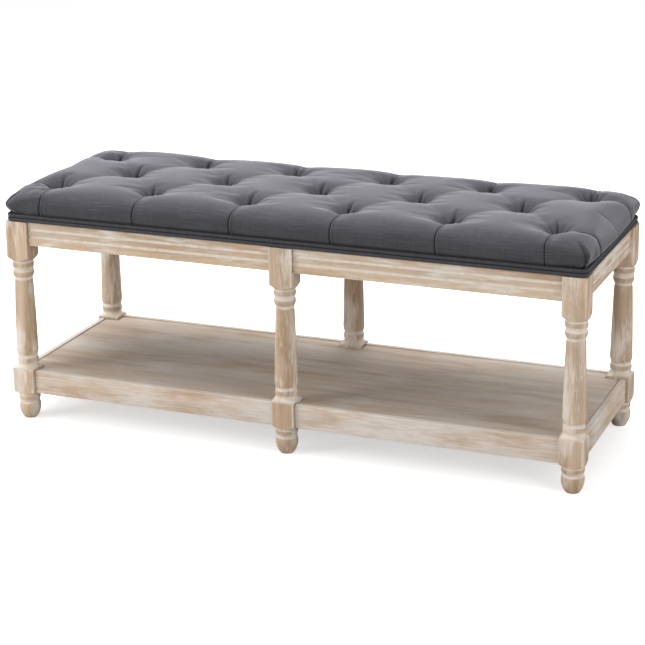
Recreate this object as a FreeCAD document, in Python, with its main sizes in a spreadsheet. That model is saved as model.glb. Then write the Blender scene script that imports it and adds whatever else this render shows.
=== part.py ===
import FreeCAD, Part
import math
import os

import Sketcher

# Tufted bench: six turned legs, fluted aprons, a framed lower shelf and a tufted seat.
# Millimetres. Origin on the floor under the middle of the bench, +Z up, -Y is the front.

DRIVING = [
    ("frame_length", 1200, "over the outer faces of the end legs"),
    ("frame_depth", 420, "over the outer faces of front and back legs"),
    ("frame_top", 422, "top of legs and aprons above the floor"),
    ("leg_block", 47, "side of the square leg blocks"),
    ("block_easing", 1.5, "rounding of the long edges of legs, aprons and rails"),
    ("apron_height", 49, "height of the fluted aprons"),
    ("apron_thickness", 20, "thickness of the aprons"),
    ("apron_setback", 6, "apron face behind the leg block face"),
    ("flute_radius", 4.5, "radius of the two flutes along each apron"),
    ("flute_depth", 2.4, "how deep the flutes cut"),
    ("upper_flute", 34, "upper flute above the apron's bottom edge"),
    ("lower_flute", 19, "lower flute above the apron's bottom edge"),
    ("rail_bottom", 58, "underside of the shelf rails above the floor"),
    ("rail_height", 48, "height of the shelf rails"),
    ("rail_thickness", 20, "thickness of the shelf rails"),
    ("rail_setback", 7, "rail face behind the leg block face"),
    ("rail_lip", 11, "width of the rail left outside the shelf panel"),
    ("panel_thickness", 12, "thickness of the shelf panel"),
    ("panel_recess", 1.5, "shelf panel below the top of its rails"),
    ("panel_gap", 2, "open joint between shelf panel and rails"),
    ("notch_gap", 2.5, "open joint between shelf panel and leg blocks"),
    ("panel_easing", 1.5, "rounding of the shelf panel's upper edge"),
    ("cross_thickness", 20, "thickness of the two cross rails"),
    ("seat_cross_height", 37, "height of the cross rail under the seat"),
    ("dowel_diameter", 8, "diameter of the joint dowels"),
    ("dowel_length", 38, "length of the joint dowels"),
    ("dowel_hole_depth", 20, "depth of each dowel hole"),
    ("dowel_margin", 10, "dowel axes inside the edges of the piece they hold"),
    ("hole_clearance", 0.1, "radial play of dowels, bolts and screws in their holes"),
    ("brace_reach", 92, "corner brace along each apron from their inner corner"),
    ("brace_thickness", 20, "thickness of the corner braces"),
    ("brace_height", 30, "height of the corner braces"),
    ("bolt_diameter", 6, "diameter of the leg bolts"),
    ("bolt_grip", 26, "leg bolt length inside the leg"),
    ("nut_size", 10, "width across the flats of the leg bolt nuts"),
    ("nut_height", 5, "height of the leg bolt nuts"),
    ("bolt_tail", 2.5, "leg bolt end beyond its nut"),
    ("screw_diameter", 4, "shank diameter of the wood screws"),
    ("screw_bite", 9, "screw length inside the piece it holds"),
    ("brace_screw_reach", 74, "brace screws along each apron from their inner corner"),
    ("brace_screw_grip", 18, "brace screw length inside the brace"),
    ("seat_screw_shift", 24, "seat screw along the brace from the leg bolt"),
    ("dust_thickness", 0.6, "thickness of the dust cloth"),
    ("dust_margin", 14, "dust cloth edge inside the leg faces"),
    ("cover_thickness", 1.5, "thickness of the seat cloth with its wadding"),
    ("cover_turn_under", 22, "seat cloth folded under the seat board"),
    ("soft_gap", 0.2, "play between the stacked seat layers"),
    ("board_thickness", 12, "thickness of the seat board"),
    ("welt_diameter", 8, "diameter of each cord of the double welt"),
    ("welt_corner", 12, "corner radius of the welt's centre line"),
    ("end_tuft_margin", 80, "outer tuft columns inside the end leg faces"),
    ("side_tuft_margin", 85, "outer tuft rows inside the front and back leg faces"),
    ("cushion_rise", 57.4, "crown of the puffs above the double welt"),
    ("cushion_bulge", 4, "cushion side outside the leg block face"),
    ("seam_overhang", 0.6, "cushion side beyond its straight base at the welt"),
    ("side_lean", 2, "top of the cushion side behind its widest line"),
    ("edge_height", 35, "straight part of the cushion side above the welt"),
    ("edge_width", 36, "rounded edge of the cushion seen from above"),
    ("edge_drop", 6, "puffs below their crown where the rounded edge begins"),
    ("tuft_depth", 30, "bottom of a tuft below the crown"),
    ("tuft_width", 12, "width of a tuft's flat bottom"),
    ("tuft_dish", 1, "middle of a tuft's bottom below its edge"),
    ("puff_drop", 0.5, "top of the puffs beside a tuft below the crown"),
    ("diagonal_depth", 10, "fold between two tufts below the crown, half way along"),
    ("diagonal_puff_drop", 2, "puffs below the crown where the folds cross them"),
    ("diagonal_middle_drop", 3.3, "middle of the bench below the crown there"),
    ("diagonal_edge_drop", 7, "start of the rounded edge below the crown there"),
    ("pleat_depth", 14, "edge pleats below the crown"),
    ("pleat_fullness", 3, "pleats above a straight line from their tuft to the edge"),
    ("pleat_inset", 3, "edge pleats behind the cushion side"),
    ("end_pleat_depth", 13, "pleats at the two ends below the crown"),
    ("end_pleat_fullness", 0.5, "end pleats above a straight line across the puff"),
    ("end_rounding", 24, "length over which the ends of the cushion round off"),
    ("end_drop", 26, "rounded ends below the crown at the very end"),
    ("end_lift", 10, "underside of the rounded ends above the welt"),
    ("side_share", 0.6, "share of the height that stays upright at the ends"),
    ("end_narrowing", 18, "each side of the cushion drawn in at the very end"),
    ("end_edge_drop", 7, "start of the rounded edge below the crown beside the ends"),
    ("end_middle_drop", 2, "middle of the bench below the crown beside the ends"),
    ("end_inset", 1, "cushion side drawn in where the ends begin to round off"),
    ("tie_diameter", 2, "diameter of the tuft cords"),
    ("tie_slack", 1.5, "end of a tuft cord below the cover"),
    ("tie_washer", 14, "diameter of the washer under each tuft cord"),
    ("tie_washer_thickness", 1, "thickness of those washers"),
    ("tie_play", 0.4, "radial play of the tuft cords in board and foam"),
]

DERIVED = [
    ("half_block", "leg_block / 2", "half the leg block"),
    ("leg_x", "frame_length / 2 - half_block", "end leg axis from the middle"),
    ("leg_y", "frame_depth / 2 - half_block", "leg axis from the middle"),
    ("inner_x", "frame_length / 2 - leg_block", "inner face of the end legs"),
    ("inner_y", "frame_depth / 2 - leg_block", "inner face of front and back legs"),
    ("long_span", "inner_x - half_block", "front apron or rail between two legs"),
    ("end_span", "2 * inner_y", "end apron or rail between two legs"),
    ("apron_bottom", "frame_top - apron_height", "underside of the aprons"),
    ("apron_face_x", "frame_length / 2 - apron_setback", "outer face of the end aprons"),
    ("apron_face_y", "frame_depth / 2 - apron_setback", "outer face of front and back aprons"),
    ("flute_outside", "flute_radius - flute_depth", "flute centre outside the apron face"),
    ("rail_face_x", "frame_length / 2 - rail_setback", "outer face of the end rails"),
    ("rail_face_y", "frame_depth / 2 - rail_setback", "outer face of front and back rails"),
    ("rebate_width", "rail_thickness - rail_lip", "width of the rebate the panel lies in"),
    ("rebate_depth", "panel_thickness + panel_recess", "depth of that rebate"),
    ("rebate_floor", "rail_bottom + rail_height - rebate_depth", "underside of the shelf panel"),
    ("shelf_cross_height", "rail_height - rebate_depth", "height of the shelf cross rail"),
    ("dowel_radius", "dowel_diameter / 2", "dowel radius"),
    ("dowel_hole_radius", "dowel_radius + hole_clearance", "dowel hole radius"),
    ("cover_bottom", "frame_top + dust_thickness", "underside of the folded seat cloth"),
    ("board_bottom", "cover_bottom + cover_thickness + soft_gap", "underside of the seat board"),
    ("board_top", "board_bottom + board_thickness", "top of the seat board"),
    ("foam_bottom", "board_top + soft_gap", "underside of the foam"),
    ("seat_cross_bottom", "frame_top - seat_cross_height", "underside of the seat cross rail"),
    ("seam_inset", "welt_diameter + soft_gap", "cover behind the leg block face at the welt"),
    ("seam_height", "cover_bottom + 2 * welt_diameter", "cushion side meets the double welt"),
    ("crown_height", "seam_height + cushion_rise", "crown of the puffs above the floor"),
    ("tuft_height", "crown_height - tuft_depth", "bottom of the tufts above the floor"),
    ("tuft_pitch", "(frame_length - 2 * end_tuft_margin) / 5", "tuft spacing along a row"),
    ("tuft_row_spacing", "frame_depth / 2 - side_tuft_margin", "spacing of the three tuft rows"),
    ("board_inset", "seam_inset + cover_thickness + soft_gap", "board behind the leg face"),
    ("board_length", "frame_length - 2 * board_inset", "length of the seat board"),
    ("board_depth", "frame_depth - 2 * board_inset", "depth of the seat board"),
    ("base_corner", "welt_corner - welt_diameter / 2", "corner radius of the cover at the welt"),
    ("board_corner", "base_corner - cover_thickness", "corner radius of the seat board"),
    ("dust_length", "frame_length - 2 * dust_margin", "length of the dust cloth"),
    ("dust_depth", "frame_depth - 2 * dust_margin", "depth of the dust cloth"),
    ("rim_radius", "half_block * sqrt(2) + rim_margin", "radius where the turning starts"),
]

# Turned shape of a leg: name, depth below the block's face, and place along the leg. The collar
# is placed below the aprons, the ring above the shelf rails and the foot above the floor.
COLLAR = [
    ("collar_root", 3.1, 36.0), ("collar_swell", 1.8, 44.5), ("collar_quirk", 3.8, 53.0),
    ("bead_swell", 2.1, 61.5), ("bead_root", 5.0, 70.0), ("neck_hollow", 5.6, 74.0),
    ("shaft_top", 4.9, 79.0),
]
RING = [
    ("shaft_widest", 1.2, 50.0), ("shaft_round", 1.6, 36.0), ("shaft_quirk", 3.7, 29.0),
    ("ring_swell", 1.6, 20.0), ("ring_root", 3.4, 11.5), ("flare_hollow", 0.1, 7.1),
]
HEEL = [
    ("heel_root", 2.5, 6.5), ("foot_ring_swell", 1.3, 12.5), ("foot_quirk", 4.1, 21.2),
]
BUN = [
    ("bun_swell", 1.7, 31.0), ("bun_widest", 1.2, 26.0), ("bun_round", 4.3, 10.0),
    ("foot_tip", 10.5, 0.0),
]
LEVELS = [
    (COLLAR, "apron_bottom - ", "below the aprons"),
    (RING, "rail_bottom + rail_height + ", "above the shelf rails"),
    (HEEL, "rail_bottom - ", "below the shelf rails"),
    (BUN, "", "above the floor"),
]
DRIVING += [
    ("upper_rim", 25, "lower corners of the upper leg block below the aprons"),
    ("lower_rim", 2.6, "upper corners of the lower leg block above the shelf rails"),
    ("heel_rim", 3, "lower corners of that block above the underside of the rails"),
    ("rim_margin", 1, "start of the turning outside the corners of a leg block"),
    ("shaft_entasis", 2.6, "middle of the shaft below the block's face"),
]

doc = FreeCAD.newDocument("TuftedBench")
sheet = doc.addObject("Spreadsheet::Sheet", "Dimensions")
finished = []


def write_sheet():
    """Put every dimension on its own row: name, value or formula, meaning."""
    rows = [(name, str(value), note) for name, value, note in DRIVING]
    rows += [(name, "=" + formula, note) for name, formula, note in DERIVED]
    for stations, datum, words in LEVELS:
        for name, depth, distance in stations:
            rows.append((name + "_depth", str(depth), "turned that deep below the block's face"))
            rows.append((name + "_place", str(distance), words))
            rows.append((name + "_radius", "=half_block - %s_depth" % name, "radius there"))
            rows.append((name + "_level", "=%s%s_place" % (datum, name), "height there"))
    for number, (name, content, note) in enumerate(rows, start=1):
        sheet.set("A%d" % number, name)
        sheet.set("B%d" % number, content)
        sheet.setAlias("B%d" % number, name)
        sheet.set("C%d" % number, note)
    doc.recompute()


write_sheet()


def size(name):
    return float(sheet.get(name))


def bind(obj, prop, name):
    obj.setExpression(prop, "Dimensions." + name)


def vector(x, y, z=0.0):
    return FreeCAD.Vector(x, y, z)


def placed(x, y, z, turn=0):
    return FreeCAD.Placement(vector(x, y, z), FreeCAD.Rotation(vector(0, 0, 1), turn))


def new_sketch(body, plane, offset=0.0):
    """Sketch on one of the body's origin planes, moved along the plane's normal."""
    sketch = body.newObject("Sketcher::SketchObject", "Sketch")
    support = next(f for f in body.Origin.OriginFeatures if f.Role == plane)
    sketch.AttachmentSupport = [(support, "")]
    sketch.MapMode = "FlatFace"
    sketch.AttachmentOffset = placed(0, 0, offset)
    return sketch


def draw_rectangle(sketch, corner, width_name, height_name):
    """Rectangle from its lower left corner; its width and height follow the sheet."""
    left, low = corner
    right = left + size(width_name)
    high = low + size(height_name)
    ring = [vector(left, low), vector(right, low), vector(right, high), vector(left, high)]
    for start, end in zip(ring, ring[1:] + ring[:1]):
        sketch.addGeometry(Part.LineSegment(start, end))
    for edge in range(4):
        sketch.addConstraint(Sketcher.Constraint("Coincident", edge, 2, (edge + 1) % 4, 1))
    for edge, kind in enumerate(("Horizontal", "Vertical", "Horizontal", "Vertical")):
        sketch.addConstraint(Sketcher.Constraint(kind, edge))
    for edge, kind, name in ((0, "DistanceX", width_name), (1, "DistanceY", height_name)):
        index = sketch.addConstraint(Sketcher.Constraint(kind, edge, 1, edge, 2, size(name)))
        bind(sketch, "Constraints[%d]" % index, name)
    if corner == (0.0, 0.0):
        sketch.addConstraint(Sketcher.Constraint("Coincident", 0, 1, -1, 1))
    else:
        sketch.addConstraint(Sketcher.Constraint("Symmetric", 0, 1, 1, 2, -1, 1))


def draw_circles(sketch, centres, radius_name):
    for centre in centres:
        circle = Part.Circle(vector(*centre), vector(0, 0, 1), size(radius_name))
        index = sketch.addGeometry(circle)
        radius = sketch.addConstraint(Sketcher.Constraint("Radius", index, size(radius_name)))
        bind(sketch, "Constraints[%d]" % radius, radius_name)


def arc_between(start, middle, end):
    """Counter-clockwise arc for a sketch, and whether it runs from end to start."""
    circle = Part.Circle(start, middle, end)
    centre = circle.Center
    angles = [math.atan2(p.y - centre.y, p.x - centre.x) for p in (start, middle, end)]
    turned = (middle - start).cross(end - middle).z < 0
    first, last = (angles[2], angles[0]) if turned else (angles[0], angles[2])
    if last < first:
        last += 2 * math.pi
    flat = Part.Circle(centre, vector(0, 0, 1), circle.Radius)
    return Part.ArcOfCircle(flat, first, last), turned


def draw_path(sketch, points, arcs):
    """Closed outline through points; arcs maps a start index to the point its arc passes."""
    ends = []
    for number, start in enumerate(points):
        end = points[(number + 1) % len(points)]
        if number in arcs:
            shape, turned = arc_between(start, arcs[number], end)
        else:
            shape, turned = Part.LineSegment(start, end), False
        index = sketch.addGeometry(shape)
        ends.append((index, 2, 1) if turned else (index, 1, 2))
    for (index, _, tail), (following, head, _) in zip(ends, ends[1:] + ends[:1]):
        sketch.addConstraint(Sketcher.Constraint("Coincident", index, tail, following, head))


def pad(body, sketch, length_name):
    feature = body.newObject("PartDesign::Pad", "Pad")
    feature.Profile = sketch
    bind(feature, "Length", length_name)
    doc.recompute()
    return feature


def pocket(body, sketch, length_name, forward=False):
    """Cut against the sketch normal, or along it when forward is set."""
    feature = body.newObject("PartDesign::Pocket", "Pocket")
    feature.Profile = sketch
    feature.Reversed = forward
    bind(feature, "Length", length_name)
    doc.recompute()
    return feature


def ease_edges(body, feature, chosen, radius_name):
    """Round the edges of a feature that the function chosen picks out."""
    names = ["Edge%d" % number for number, edge in enumerate(feature.Shape.Edges, start=1)
             if chosen(edge)]
    fillet = body.newObject("PartDesign::Fillet", "Fillet")
    fillet.Base = (feature, names)
    bind(fillet, "Radius", radius_name)
    doc.recompute()
    return fillet


def running(axis):
    """Picks the straight edges that run along one axis."""
    def chosen(edge):
        span = edge.Vertexes[-1].Point - edge.Vertexes[0].Point
        return abs(span.dot(axis)) > 0.999 * span.Length
    return chosen


def new_body(label):
    body = doc.addObject("PartDesign::Body", label + "_body")
    body.Label = label + " body"
    return body


def finish(label, body, place, cutters=()):
    """Place a body and take the screw or bolt holes out of it as the finished sub-part."""
    body.Placement = place
    if not cutters:
        body.Label = label
        finished.append(body)
        return body
    tool = doc.addObject("Part::Feature", label + "_holes")
    tool.Shape = Part.makeCompound(list(cutters))
    part = doc.addObject("Part::Cut", label)
    part.Base = body
    part.Tool = tool
    part.Label = label
    finished.append(part)
    return part


def solid_part(label, shape):
    """A sub-part whose shape was made directly."""
    part = doc.addObject("Part::Feature", label)
    part.Shape = shape
    part.Label = label
    finished.append(part)
    return part


def group(label, solids):
    """Several separate solids of one kind as a single sub-part."""
    return solid_part(label, Part.makeCompound(solids))


# Heights of the two dowels in each kind of joint, and their line from the leg's axis.
margin = size("dowel_margin")
DOWEL_LEVELS = {
    "apron": (size("apron_bottom") + margin, size("frame_top") - margin),
    "seat cross": (size("seat_cross_bottom") + margin, size("frame_top") - margin),
    "rail": (size("rail_bottom") + margin, size("rebate_floor") - margin),
}
DOWEL_LEVELS["shelf cross"] = DOWEL_LEVELS["rail"]
DOWEL_LINES = {
    "apron": size("apron_face_y") - size("apron_thickness") / 2 - size("leg_y"),
    "rail": size("rail_face_y") - size("rail_thickness") / 2 - size("leg_y"),
    "seat cross": 0.0,
    "shelf cross": 0.0,
}


def drill_leg(body, side, pieces):
    """Dowel holes in one face of a leg for the pieces that meet it there."""
    stop = size("half_block") - size("dowel_hole_depth")
    plane, offset, forward = {
        "right": ("YZ_Plane", stop, True),
        "left": ("YZ_Plane", -stop, False),
        "inner": ("XZ_Plane", -stop, False),
    }[side]
    centres = []
    for piece in pieces:
        centres += [(-DOWEL_LINES[piece], level) for level in DOWEL_LEVELS[piece]]
    sketch = new_sketch(body, plane, offset)
    draw_circles(sketch, centres, "dowel_hole_radius")
    pocket(body, sketch, "half_block", forward)


def turning_points(stations):
    return [vector(size(name + "_radius"), size(name + "_level")) for name, _, _ in stations]


def turned_leg(label, place, faces, cutters=()):
    """Square post turned on a lathe between its two blocks and at the foot."""
    body = new_body(label)
    square = new_sketch(body, "XY_Plane")
    half = size("half_block")
    draw_rectangle(square, (-half, -half), "leg_block", "leg_block")
    post = pad(body, square, "frame_top")
    ease_edges(body, post, running(vector(0, 0, 1)), "block_easing")
    rim = size("rim_radius")
    waste = 2 * rim

    collar_root, collar, collar_quirk, bead, bead_root, hollow, shaft_top = turning_points(COLLAR)
    widest, rounding, shaft_quirk, ring, ring_root, flare = turning_points(RING)
    upper_rim = vector(rim, size("apron_bottom") - size("upper_rim"))
    lower_rim = vector(rim, size("rail_bottom") + size("rail_height") + size("lower_rim"))
    middle = vector(half - size("shaft_entasis"), (shaft_top.y + widest.y) / 2)
    shaft = new_sketch(body, "XZ_Plane")
    outline = [upper_rim, collar_root, collar_quirk, bead_root, shaft_top, widest, shaft_quirk,
               ring_root, lower_rim, vector(waste, lower_rim.y), vector(waste, upper_rim.y)]
    draw_path(shaft, outline, {1: collar, 2: bead, 3: hollow, 4: middle, 5: rounding, 6: ring,
                               7: flare})

    heel_root, foot_ring, foot_quirk = turning_points(HEEL)
    bun, bun_widest, bun_round, tip = turning_points(BUN)
    heel_rim = vector(rim, size("rail_bottom") + size("heel_rim"))
    foot = new_sketch(body, "XZ_Plane")
    outline = [heel_rim, heel_root, foot_quirk, bun_widest, tip, vector(waste, tip.y),
               vector(waste, heel_rim.y)]
    draw_path(foot, outline, {1: foot_ring, 2: bun, 3: bun_round})
    for profile in (shaft, foot):
        groove = body.newObject("PartDesign::Groove", "Turning")
        groove.Profile = profile
        groove.ReferenceAxis = (profile, ["V_Axis"])
        groove.Angle = 360
        doc.recompute()
    for side, pieces in faces.items():
        drill_leg(body, side, pieces)
    return finish(label, body, place, cutters)


RAIL_KINDS = {
    "apron": ("apron_thickness", "apron_height", "apron_bottom"),
    "rail": ("rail_thickness", "rail_height", "rail_bottom"),
    "shelf cross": ("cross_thickness", "shelf_cross_height", "rail_bottom"),
    "seat cross": ("cross_thickness", "seat_cross_height", "seat_cross_bottom"),
}


def rail_between(label, place, span_name, kind, cutters=()):
    """Apron, shelf rail or cross rail: local X along it, outer face at Y 0, bottom at Z 0."""
    thickness_name, height_name, bottom_name = RAIL_KINDS[kind]
    body = new_body(label)
    outline = new_sketch(body, "YZ_Plane")
    draw_rectangle(outline, (0.0, 0.0), thickness_name, height_name)
    bar = pad(body, outline, span_name)
    ease_edges(body, bar, running(vector(1, 0, 0)), "block_easing")
    if kind == "apron":
        flutes = new_sketch(body, "YZ_Plane")
        centres = [(-size("flute_outside"), size(name)) for name in ("upper_flute", "lower_flute")]
        draw_circles(flutes, centres, "flute_radius")
        pocket(body, flutes, span_name, True)
    if kind == "rail":
        rebate = new_sketch(body, "YZ_Plane")
        lip = size("rail_lip")
        floor = size("rail_height") - size("rebate_depth")
        beyond = size("rail_thickness") + size("rebate_width")
        above = size("rail_height") + size("rebate_depth")
        corners = [vector(lip, floor), vector(beyond, floor), vector(beyond, above),
                   vector(lip, above)]
        draw_path(rebate, corners, {})
        pocket(body, rebate, span_name, True)
    centres = [(size(thickness_name) / 2, level - size(bottom_name))
               for level in DOWEL_LEVELS[kind]]
    for offset, forward in ((0.0, True), (size(span_name), False)):
        end = new_sketch(body, "YZ_Plane", offset)
        draw_circles(end, centres, "dowel_hole_radius")
        pocket(body, end, "dowel_hole_depth", forward)
    return finish(label, body, place, cutters)


def screw(at, direction, length, play=0.0):
    """Countersunk wood screw: head flush with the surface at its start, pointed tip."""
    radius = size("screw_diameter") / 2 + play
    shank_length = length - 2 * radius
    head = Part.makeCone(2 * radius, radius, radius, at, direction)
    shank = Part.makeCylinder(radius, shank_length, at, direction)
    tip = Part.makeCone(radius, radius / 4, 2 * radius, at + direction * shank_length, direction)
    return head.fuse([shank, tip]).removeSplitter()


def hexagon_prism(centre, along, axis, height):
    """Six-sided prism on one axis, two of its corners on the line along."""
    reach = size("nut_size") / math.sqrt(3)
    corners = []
    for step in range(7):
        angle = math.radians(60 * step)
        corners.append(centre + along * (reach * math.cos(angle))
                       + along.cross(axis) * (reach * math.sin(angle)))
    return Part.Face(Part.makePolygon(corners)).extrude(axis * height)


class Hardware:
    """Screws and bolts of one kind with the holes they need in the wood."""

    def __init__(self):
        self.pieces = []
        self.holes = []

    def add_screw(self, at, direction, length):
        self.pieces.append(screw(at, direction, length))
        self.holes.append(screw(at, direction, length, size("hole_clearance")))

    def add_rod(self, start, direction, length, radius):
        self.pieces.append(Part.makeCylinder(radius, length, start, direction))
        wider = radius + size("hole_clearance")
        self.holes.append(Part.makeCylinder(wider, length, start, direction))


UP = vector(0, 0, 1)
# Side of the bench in X and Y, and how far the front left leg turns to stand there.
CORNERS = {
    "front_left": (-1, -1, 0), "front_right": (1, -1, 90),
    "back_right": (1, 1, 180), "back_left": (-1, 1, 270),
}
apron_back_x = size("apron_face_x") - size("apron_thickness")
apron_back_y = size("apron_face_y") - size("apron_thickness")
brace_bottom = size("frame_top") - size("brace_height")
brace_middle = size("frame_top") - size("brace_height") / 2
brace_screws = Hardware()
leg_bolts = Hardware()
seat_screws = Hardware()
shelf_screws = Hardware()
nuts = []


def fasten_corner(side_x, side_y):
    """Bolt, nut and screws of the brace across one corner of the seat frame."""
    corner = vector(side_x * apron_back_x, side_y * apron_back_y, brace_middle)
    outward = vector(side_x, side_y).normalize()
    along = vector(-side_x, side_y).normalize()
    reach = size("brace_reach")
    brace_face = corner - vector(side_x, side_y) * reach / 2
    leg_corner = vector(side_x * size("inner_x"), side_y * size("inner_y"), brace_middle)
    bolt_end = leg_corner + outward * size("bolt_grip")
    nut_height = size("nut_height")
    bolt_length = (bolt_end - brace_face).Length + nut_height + size("bolt_tail")
    leg_bolts.add_rod(bolt_end, -outward, bolt_length, size("bolt_diameter") / 2)
    nut = hexagon_prism(brace_face, along, -outward, nut_height)
    nuts.append(nut.cut(leg_bolts.holes[-1]))
    grip = size("brace_screw_grip")
    for inward, into in ((vector(-side_x, 0), vector(0, side_y)),
                         (vector(0, -side_y), vector(side_x, 0))):
        start = corner + inward * size("brace_screw_reach") - into * grip
        brace_screws.add_screw(start, into, grip + size("screw_bite"))
    start = brace_face + outward * size("brace_thickness") / 2 + along * size("seat_screw_shift")
    start.z = brace_bottom
    seat_screws.add_screw(start, UP, size("board_bottom") - brace_bottom + size("screw_bite"))


def fasten_cross_rails():
    """Two screws up through each cross rail, into the seat board and into the shelf panel."""
    for side in (-1, 1):
        start = vector(0, side * size("inner_y") / 2, size("seat_cross_bottom"))
        seat_screws.add_screw(start, UP, size("board_bottom") - start.z + size("screw_bite"))
        start = vector(0, side * size("inner_y") / 2, size("rail_bottom"))
        shelf_screws.add_screw(start, UP, size("shelf_cross_height") + size("screw_bite"))


def build_legs():
    for corner, (side_x, side_y, turn) in CORNERS.items():
        place = placed(side_x * size("leg_x"), side_y * size("leg_y"), 0, turn)
        faces = {"right": ["apron", "rail"], "inner": ["apron", "rail"]}
        turned_leg("leg_" + corner, place, faces, leg_bolts.holes)
    faces = {"right": ["apron", "rail"], "left": ["apron", "rail"],
             "inner": ["seat cross", "shelf cross"]}
    turned_leg("leg_front_middle", placed(0, -size("leg_y"), 0), faces)
    turned_leg("leg_back_middle", placed(0, size("leg_y"), 0, 180), faces)


def build_rails():
    """Aprons round the seat, rails round the shelf, and a cross rail in each frame."""
    half = size("half_block")
    inner_x = size("inner_x")
    inner_y = size("inner_y")
    for kind, name, face_x, face_y, cutters in (
            ("apron", "apron", size("apron_face_x"), size("apron_face_y"), brace_screws.holes),
            ("rail", "shelf_rail", size("rail_face_x"), size("rail_face_y"), ())):
        bottom = size(RAIL_KINDS[kind][2])
        for label, place, span in (
                ("_front_left", placed(-inner_x, -face_y, bottom), "long_span"),
                ("_front_right", placed(half, -face_y, bottom), "long_span"),
                ("_back_left", placed(-half, face_y, bottom, 180), "long_span"),
                ("_back_right", placed(inner_x, face_y, bottom, 180), "long_span"),
                ("_left_end", placed(-face_x, inner_y, bottom, -90), "end_span"),
                ("_right_end", placed(face_x, -inner_y, bottom, 90), "end_span")):
            rail_between(name + label, place, span, kind, cutters)
    half_cross = size("cross_thickness") / 2
    for kind, name, cutters in (("seat cross", "seat_cross_rail", seat_screws.holes),
                                ("shelf cross", "shelf_cross_rail", shelf_screws.holes)):
        place = placed(half_cross, -inner_y, size(RAIL_KINDS[kind][2]), 90)
        rail_between(name, place, "end_span", kind, cutters)


def dowels(kind, cross_kind):
    """Two dowels in every joint of the seat frame or of the shelf frame."""
    solids = []
    radius = size("dowel_radius")
    length = size("dowel_length")
    line_x = size("leg_x") + DOWEL_LINES[kind]
    line_y = size("leg_y") + DOWEL_LINES[kind]
    for side in (-1, 1):
        for level in DOWEL_LEVELS[kind]:
            for joint in (-size("inner_x"), -size("half_block"),
                          size("half_block"), size("inner_x")):
                start = vector(joint - length / 2, side * line_y, level)
                solids.append(Part.makeCylinder(radius, length, start, vector(1, 0, 0)))
            for joint in (-size("inner_y"), size("inner_y")):
                start = vector(side * line_x, joint - length / 2, level)
                solids.append(Part.makeCylinder(radius, length, start, vector(0, 1, 0)))
        for level in DOWEL_LEVELS[cross_kind]:
            start = vector(0, side * size("inner_y") - length / 2, level)
            solids.append(Part.makeCylinder(radius, length, start, vector(0, 1, 0)))
    return solids


def corner_brace(side_x, side_y):
    """Diagonal board from apron to apron across one inner corner of the seat frame."""
    reach = size("brace_reach")
    inner_reach = reach - size("brace_thickness") * math.sqrt(2)
    ring = [vector(side_x * (apron_back_x - along), side_y * (apron_back_y - across), brace_bottom)
            for along, across in ((inner_reach, 0), (reach, 0), (0, reach), (0, inner_reach))]
    outline = Part.makePolygon(ring + ring[:1])
    brace = Part.Face(outline).extrude(UP * size("brace_height"))
    holes = leg_bolts.holes + brace_screws.holes + seat_screws.holes
    return brace.cut(Part.makeCompound(holes))


def build_shelf_panel():
    """Shelf panel in the rails' rebate, notched round the six leg blocks."""
    outer_x = size("rail_face_x") - size("rail_lip") - size("panel_gap")
    outer_y = size("rail_face_y") - size("rail_lip") - size("panel_gap")
    notch_x = size("inner_x") - size("notch_gap")
    notch_y = size("inner_y") - size("notch_gap")
    middle = size("half_block") + size("notch_gap")
    quarter = [(outer_x, notch_y), (notch_x, notch_y), (notch_x, outer_y), (middle, outer_y),
               (middle, notch_y)]
    back = quarter + [(-x, y) for x, y in reversed(quarter)]
    ring = back + [(-x, -y) for x, y in back]
    body = new_body("shelf_panel")
    outline = new_sketch(body, "XY_Plane")
    draw_path(outline, [vector(x, y) for x, y in ring], {})
    board = pad(body, outline, "panel_thickness")
    top = size("panel_thickness")
    ease_edges(body, board, lambda edge: all(vertex.Z > top / 2 for vertex in edge.Vertexes),
               "panel_easing")
    finish("shelf_panel", body, placed(0, 0, size("rebate_floor")), shelf_screws.holes)


def flat_board(label, length_name, depth_name, thickness_name, level, cutters, corner_name=None):
    """Board or cloth centred on the bench, its upright corners rounded if a radius is named."""
    body = new_body(label)
    outline = new_sketch(body, "XY_Plane")
    corner = (-size(length_name) / 2, -size(depth_name) / 2)
    draw_rectangle(outline, corner, length_name, depth_name)
    board = pad(body, outline, thickness_name)
    if corner_name:
        ease_edges(body, board, running(UP), corner_name)
    return finish(label, body, placed(0, 0, level), cutters)


def rounded_slab(half_x, half_y, bottom, top, corner):
    slab = Part.makeBox(2 * half_x, 2 * half_y, top - bottom, vector(-half_x, -half_y, bottom))
    return slab.makeFillet(corner, [edge for edge in slab.Edges if running(UP)(edge)])


# Sections in the rounded ends, as shares of the rounding's length from the very end.
END_SHARES = (0.6, 0.17, 0.0)
# Point that the rounded edge passes, as shares of its width inwards and its height upwards.
EDGE_SHOULDER = (0.25, 0.7)


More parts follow.
